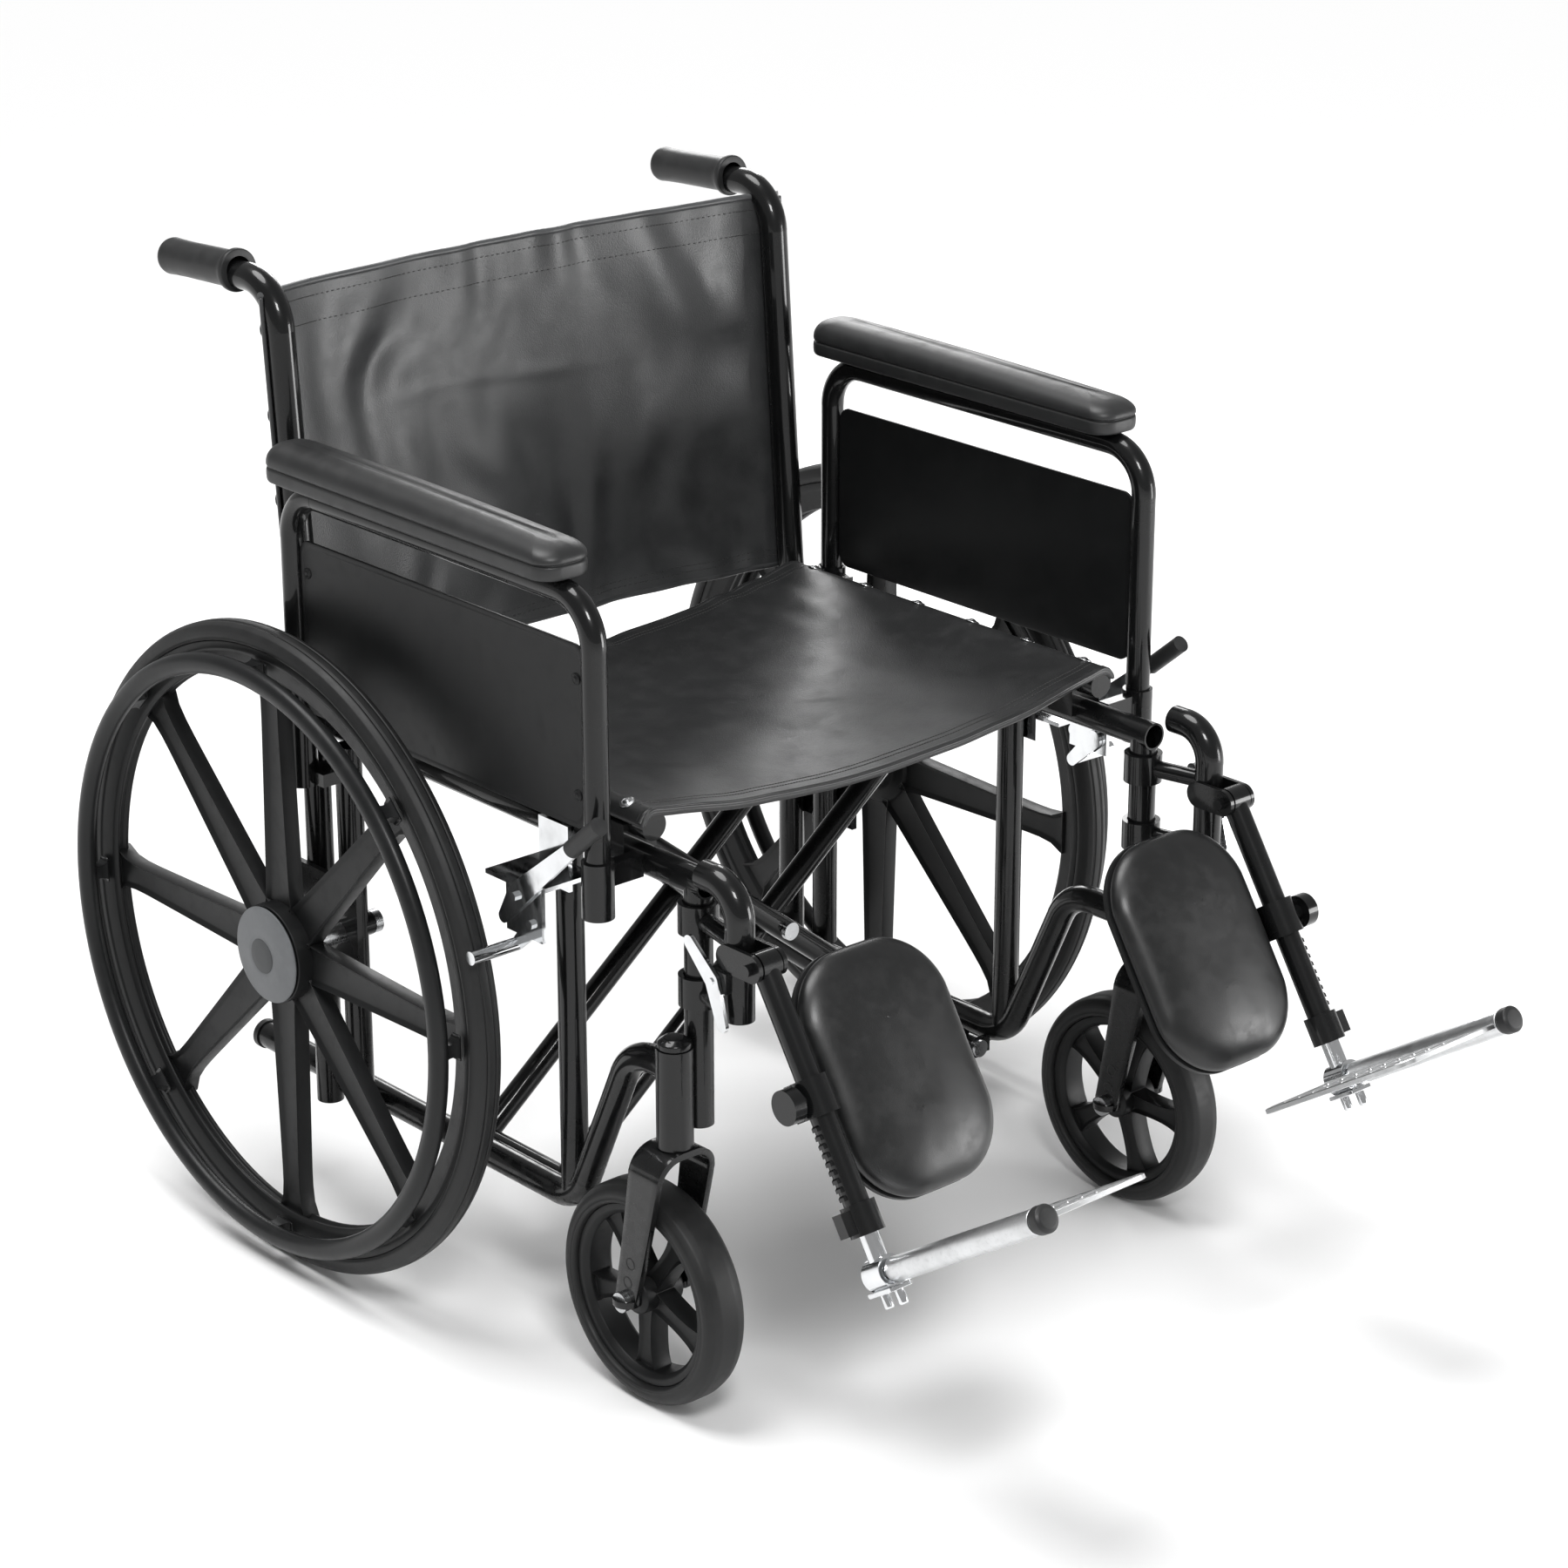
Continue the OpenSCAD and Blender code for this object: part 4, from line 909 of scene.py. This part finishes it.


# ---- Casters ----
# An eight-inch composite wheel with five spokes and a soft round tyre. Two bearing caps sit in the hub; they
# are not drawn.

CASTER_SPOKES = 5
for side, sign in SIDES:
    low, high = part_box(f"{side}_caster_tyre")
    rim_low, rim_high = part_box(f"{side}_caster_wheel")
    centre = (low + high) / 2
    crown = (high.y - low.y) / 2
    seat_r = crown - 0.019
    half = (high.x - low.x) / 2
    out = facing(centre, (sign, 0, 0))
    bm = turned([(-half * 0.76, seat_r), (half * 0.76, seat_r), (half * 0.74, seat_r - 0.006),
                 (half * 0.52, seat_r - 0.0105), (-half * 0.52, seat_r - 0.0105),
                 (-half * 0.74, seat_r - 0.006)], 0.0012, 96, True)
    hub_half = (rim_high.x - rim_low.x) / 2
    add(bm, turned([(-hub_half, 0.0053), (-hub_half, 0.0125), (-hub_half + 0.004, 0.0165),
                    (hub_half - 0.004, 0.0165), (hub_half, 0.0125), (hub_half, 0.0053)], 0.0008, 48, True),
        Matrix.Identity(4))
    for i in range(CASTER_SPOKES):
        part = spoke(0.013, seat_r - 0.008, 0.0155, 0.0135, half * 0.95, 0.004, 0.016, (0.0028, 0.0035), 10)
        add(bm, part, Matrix.Rotation(2 * pi * i / CASTER_SPOKES + 0.3, 4, "X"))
    wheel = finished(bm, out, f"{side}_caster_core", 32, nylon, f"{side}_caster_wheel", "wheel_plastic")
    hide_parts(f"{side}_caster_wheel")

    side_wall = [(half * 0.8, seat_r), (half * 0.97, seat_r + 0.0015), (half, seat_r + 0.004),
                 (half * 0.96, seat_r + 0.0055), (half * 0.99, seat_r + 0.008),
                 (half * 0.93, seat_r + 0.0125), (half * 0.72, crown - 0.0022),
                 (half * 0.4, crown - 0.0003)]
    bm = turned(side_wall + [(-a, r) for a, r in reversed(side_wall)], 0.0014, 128, True)
    tyre = finished(bm, out, f"{side}_caster_tread", 45, tyre_rubber, f"{side}_caster_wheel", "tyre")
    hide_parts(f"{side}_caster_tyre")


# ---- Caster forks ----
# A flat steel strip bent to an arch over the wheel, with a row of axle holes down each leg, and the stem
# that turns in the frame's housing, closed by a dust cap.

FORK_T = 0.006
FORK_HOLE_PITCH = 0.019
for side, sign in SIDES:
    low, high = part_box(f"{side}_caster_fork")
    swivel = Vector(joints[f"{side}_caster_swivel"]["pos_m"])
    axle = Vector(joints[f"{side}_caster_spin"]["pos_m"])
    housing_z = 0.25 - 0.0004
    leg_out = (high.x - low.x) / 2 - FORK_T / 2 if (high.x - low.x) / 2 < 0.05 else 0.029
    bend = 0.021
    path = [Vector((leg_out, 0, axle.z)), Vector((leg_out, 0, housing_z - bend))]
    path += [Vector((leg_out - bend + bend * cos(a), 0, housing_z - FORK_T / 2 - bend + bend * sin(a)))
             for a in spread(9, 0, pi / 2)]
    path = path + [Vector((-p.x, 0, p.z)) for p in reversed(path)]
    bm = bmesh.new()
    bmesh.ops.create_grid(bm, x_segments=len(path) * 4, y_segments=6, size=1.0)
    lengths = [0.0]
    for a, b in zip(path, path[1:]):
        lengths.append(lengths[-1] + (b - a).length)
    for vert in bm.verts:
        run = (vert.co.x + 1) / 2 * lengths[-1]
        k = max(i for i, total in enumerate(lengths) if total <= run + 1e-9)
        k = min(k, len(path) - 2)
        spot = path[k].lerp(path[k + 1], (run - lengths[k]) / max(1e-9, lengths[k + 1] - lengths[k]))
        fall = max(0.0, min(1.0, (housing_z - spot.z) / (housing_z - axle.z)))
        width = 0.04 - 0.014 * fall
        vert.co = Vector((swivel.x + spot.x, swivel.y + 0.002 + (axle.y - swivel.y - 0.002) * fall ** 1.2
                          + vert.co.y * width / 2, spot.z))
    for end in (-1, 1):
        eye = (swivel.x + end * leg_out, axle.y, axle.z)
        foot = bmesh.ops.create_circle(bm, cap_ends=True, segments=32, radius=0.013,
                                       matrix=facing(eye, (0, 0, 1)))
        bmesh.ops.rotate(bm, cent=eye, matrix=Matrix.Rotation(pi / 2, 3, "Y"), verts=foot["verts"])
    strip = settle(bm, f"{side}_fork_strip")
    solid = strip.modifiers.new("plate", "SOLIDIFY")
    solid.thickness = FORK_T
    solid.offset = 0.0
    edge = strip.modifiers.new("edge", "BEVEL")
    edge.width = 0.0011
    edge.segments = 2
    edge.limit_method = "ANGLE"
    edge.angle_limit = radians(50)
    with_modifiers(strip)
    place_piece(strip, paint, f"{side}_caster_fork", "frame_paint")
    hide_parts(f"{side}_caster_fork")
    stem_top = high.z
    bm = turned([(housing_z - FORK_T, 0.0), (housing_z - FORK_T, 0.0078), (stem_top - 0.0095, 0.0078),
                 (stem_top - 0.0092, 0.0148), (stem_top - 0.004, 0.0146), (stem_top, 0.009), (stem_top, 0.0)],
                0.0008, 48)
    finished(bm, facing((swivel.x, swivel.y, 0), (0, 0, 1)), f"{side}_fork_stem", 38,
             paint, f"{side}_caster_fork", "frame_paint")
    spots = []
    ways = []
    for end in (-1, 1):
        for i in (1, 2):
            spots.append(Vector((swivel.x + end * (leg_out + FORK_T / 2 - 0.0002), axle.y - i * 0.004,
                                 axle.z + i * FORK_HOLE_PITCH)))
            ways.append((end, 0, 0))
    holes = bmesh.new()
    for spot, way in zip(spots, ways):
        add(holes, turned([(0, 0.0058), (0.0005, 0.0056), (0.0005, 0.0046), (0.0001, 0.0044), (0.0001, 0.0)],
                          0.0, 24), facing(spot, way))
    bmesh.ops.holes_fill(holes, edges=[e for e in holes.edges if e.is_boundary])
    plugs = settle(holes, f"{side}_fork_hole_plugs")
    place_piece(plugs, tyre_rubber, f"{side}_caster_fork", "tyre")


# ---- Push grips and other rubber ----
# Smooth rubber sleeves on the push handles, each with a collar at its front end and a soft flare at its rear
# end. The frame tubes' end caps and the lock levers' grips are of the same rubber.

grip_rubber = rubber("grip_rubber", 0.02, 0.38)
dress(grip_rubber, *both("brake_grip", "frame_cap"))
for side, sign in SIDES:
    low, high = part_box(f"{side}_push_grip")
    drop = Vector((0, 0.160, -0.008)).normalized()
    length = 0.104
    rear_end = Vector((sign * post_x, high.y - 0.0012, low.z + 0.0205))
    start = rear_end - drop * length
    outline = [(-0.0035, 0.0129), (-0.0035, 0.0192), (-0.001, 0.0199), (0.0025, 0.0196), (0.0045, 0.0172),
               (0.009, 0.0166), (length * 0.35, 0.0164), (length * 0.7, 0.0161), (length - 0.014, 0.0164),
               (length - 0.005, 0.0169), (length - 0.0012, 0.0158), (length, 0.0125), (length, 0.0)]
    bm = turned(outline, 0.0009, 64)
    grip = finished(bm, facing(start, drop), f"{side}_handle_grip", 50,
                    grip_rubber, f"{side}_frame", "grip_rubber")
    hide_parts(f"{side}_push_grip")


# ---- Calf pads ----
# A foam pad with well-rounded corners, in black vinyl on a thin board. The cover is pulled over the foam, so
# the face is crowned and taut, and it tucks in all round at the board's edge.

calf_vinyl = skin_vinyl("calf_pad_vinyl", 0.007, 0.3)
leg_down = {side: Vector(joints[f"{side}_foot_extend"]["axis"]) for side, _ in SIDES}


def leg_matrix(side, sign):
    """The leg's frame: X outboard, Y towards the sitter, Z up the leg, from the leg's pivot."""
    up = -leg_down[side]
    across = Vector((sign, 0, 0))
    back = up.cross(across) * sign
    place = Vector(joints[f"{side}_leg_elevate"]["pos_m"])
    return Matrix(((across.x, back.x, up.x, place.x), (across.y, back.y, up.y, place.y),
                   (across.z, back.z, up.z, place.z), (0, 0, 0, 1)))


CALF_W, CALF_H = 0.160, 0.214
CALF_CORNER = 0.062
CALF_Z = -0.114
CALF_BACK = 0.0207
calf_x = -0.011 - 0.006 - CALF_W / 2
BOARD_T = 0.005
BOARD_LEVELS = ((0.0, 0.0012), (0.0005, 0.0), (BOARD_T, 0.0), (BOARD_T + 0.0005, 0.0012))
FOAM_LEVELS = ((BOARD_T + 0.0004, 0.006), (BOARD_T + 0.0016, 0.0022), (BOARD_T + 0.005, 0.0004),
               (BOARD_T + 0.0095, 0.0004), (BOARD_T + 0.0145, 0.0034), (BOARD_T + 0.019, 0.0095),
               (BOARD_T + 0.0225, 0.019),
               (BOARD_T + 0.0248, 0.034), (BOARD_T + 0.0258, 0.052), (BOARD_T + 0.0261, 0.068))


def puff(piece, pressure, cap):
    """Swells a closed cover with cloth pressure, and holds each point within cap of where it began."""
    before = [v.co.copy() for v in piece.data.vertices]
    cloth = piece.modifiers.new("cover", "CLOTH")
    cloth.settings.use_pressure = True
    cloth.settings.uniform_pressure_force = pressure
    cloth.settings.effector_weights.gravity = 0.0
    cloth.settings.quality = 6
    cloth.settings.tension_stiffness = 25
    cloth.settings.compression_stiffness = 25
    cloth.settings.bending_stiffness = 1.5
    cloth.point_cache.frame_start = 1
    cloth.point_cache.frame_end = 16
    for number in range(1, 17):
        scene.frame_set(number)
    shown = piece.evaluated_get(bpy.context.evaluated_depsgraph_get())
    moved = [v.co.copy() for v in shown.data.vertices]
    piece.modifiers.remove(cloth)
    scene.frame_set(1)
    for vert, start, end in zip(piece.data.vertices, before, moved):
        step = end - start
        vert.co = start + step * min(1.0, cap / max(step.length, 1e-9))
    piece.data.update()


for side, sign in SIDES:
    base = leg_matrix(side, sign)
    lay = base @ Matrix.Translation((calf_x, CALF_BACK, CALF_Z)) @ Matrix.Rotation(pi / 2, 4, "X")
    board = lofted(CALF_W, CALF_H, CALF_CORNER, BOARD_LEVELS, 72)
    bmesh.ops.transform(board, matrix=lay, verts=board.verts)
    board_piece = settle(board, f"{side}_calf_board")
    sharpen(board_piece, 30)
    place_piece(board_piece, panel_plastic, f"{side}_calf", "pad_vinyl")
    foam = lofted(CALF_W, CALF_H, CALF_CORNER, FOAM_LEVELS, 72)
    bmesh.ops.triangulate(foam, faces=[f for f in foam.faces if len(f.verts) > 4])
    pad = settle(foam, f"{side}_calf_cushion")
    puff(pad, 3.0, 0.0012)
    pad = subdivided(pad, 1)
    pad.data.transform(lay)
    for vert in pad.data.vertices:
        vert.co += Vector(vert.normal) * 0.0005 * noise.noise(vert.co * 22)
    place_piece(pad, calf_vinyl, f"{side}_calf", "pad_vinyl")
    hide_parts(f"{side}_calf_pad")


# ---- Footplates ----
# A cast aluminium plate with a rolled edge and raised grip bars, on a barrel that turns on the foot tube's
# rod. A black bumper closes the rod's toe end.

def cast_alloy(name):
    f = Finish(name)
    cast = f.noise(0.0016, 3.0)
    scuffs = f.noise(0.004, 4.0, 0.6, f.stretched((0.15, 1.0, 1.0))).between(0.52, 0.7)
    film = f.noise(0.03, 4.0).between(0.4, 0.7)
    f.surface(base_color=f.mixed(grey(0.68, 0.01), grey(0.5, 0.01), film * 0.6 + scuffs * 0.3),
              roughness=0.3 + film * 0.14 + scuffs * 0.12, metallic=1.0, normal=f.bumped(cast, 0.00012, 0.4))
    return f


footplate_alloy = cast_alloy("cast_footplate_alloy")
FOOT_DROP = 0.266
FOOT_L, FOOT_W, FOOT_T = 0.188, 0.128, 0.005
HEEL = 0.016
PLATE_LEVELS = ((0.0, 0.0014), (0.0006, 0.0), (0.0042, 0.0), (0.005, 0.0012), (0.005, 0.0034), (0.0038, 0.0048),
                (0.0038, 0.007))
TREADS = 9
for side, sign in SIDES:
    base = leg_matrix(side, sign)
    middle = Matrix.Translation((0, -HEEL - FOOT_L / 2, -FOOT_DROP))
    bm = lofted(FOOT_W, FOOT_L, 0.016, PLATE_LEVELS, 48)
    bmesh.ops.translate(bm, vec=(-FOOT_W / 2, 0, -FOOT_T / 2), verts=bm.verts)
    for y in spread(TREADS, -FOOT_L / 2 + 0.02, FOOT_L / 2 - 0.02):
        for x in (-1, 1):
            bar = lofted(FOOT_W / 2 - 0.03, 0.0045, 0.002, ((0.0, 0.0), (0.0012, 0.0002), (0.0018, 0.0009)), 16)
            add(bm, bar, Matrix.Translation((x * (FOOT_W / 4 - 0.004) - FOOT_W / 2 - 0.006, y, 0.001)))
    add(bm, turned([(-FOOT_L / 2, 0.00625), (-FOOT_L / 2, 0.0108), (FOOT_L / 2, 0.0108), (FOOT_L / 2, 0.00625)],
                   0.0008, 40, True), facing((0, 0, 0), (0, 1, 0)))
    plate = finished(bm, base @ middle, f"{side}_foot_tread", 30,
                     footplate_alloy, f"{side}_footplate", "footplate_alloy")
    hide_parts(f"{side}_footplate")
    toe = Matrix.Translation((0, -FOOT_L - 0.018 - 0.009, -FOOT_DROP))
    bm = turned([(-0.0026, 0.0), (-0.0026, 0.0085), (-0.0006, 0.0118), (0.0082, 0.0118), (0.0094, 0.0104)],
                0.0008, 48)
    close_end(bm)
    finished(bm, base @ toe @ facing((0, 0, 0), (0, 1, 0)), f"{side}_toe_bumper", 38,
             grip_rubber, f"{side}_foot_extension", "grip_rubber")


# ---- Footplate hinge blocks ----
# A pressed steel channel under each footplate's barrel carries the weight to the foot tube. Two studs stand
# out below it: the hinge's stop and its friction screw.

STUD_R = 0.0042
for side, sign in SIDES:
    base = leg_matrix(side, sign) @ Matrix.Translation((0, 0, -FOOT_DROP))
    bm = lofted(0.0244, 0.034, 0.003, ((-0.0158, 0.0006), (-0.0152, 0.0), (-0.0125, 0.0), (-0.012, 0.0006)), 32)
    for y in (-0.011, 0.009):
        stud = turned([(-0.011, 0.0), (-0.011, STUD_R * 0.8), (-0.0095, STUD_R), (0.003, STUD_R), (0.003, 0.0)],
                      0.0004, 24)
        add(bm, stud, facing((0, y, -0.0175), (0, 0, 1)))
    finished(bm, base, f"{side}_hinge_block", 38, chrome, f"{side}_foot_extension", "bright_metal")


# ---- Legrest ratchets ----
# A toothed steel strip is welded down the back of each leg tube. The footrest's height clamp bites into it.

RATCHET_TEETH = 9
RATCHET_PITCH = 0.0075
for side, sign in SIDES:
    base = leg_matrix(side, sign) @ Matrix.Translation((0.0108, -0.0005, -0.199))
    bm = bmesh.new()
    for i in range(RATCHET_TEETH):
        tooth = lofted(0.0046, 0.0075, 0.0008, ((0.0, 0.0), (0.0032, 0.0), (0.0048, 0.0012)), 12)
        add(bm, tooth, Matrix.Translation((0.0006, 0, i * RATCHET_PITCH - 0.002)))
    finished(bm, base, f"{side}_leg_ratchet", 30, paint, f"{side}_leg", "frame_paint")
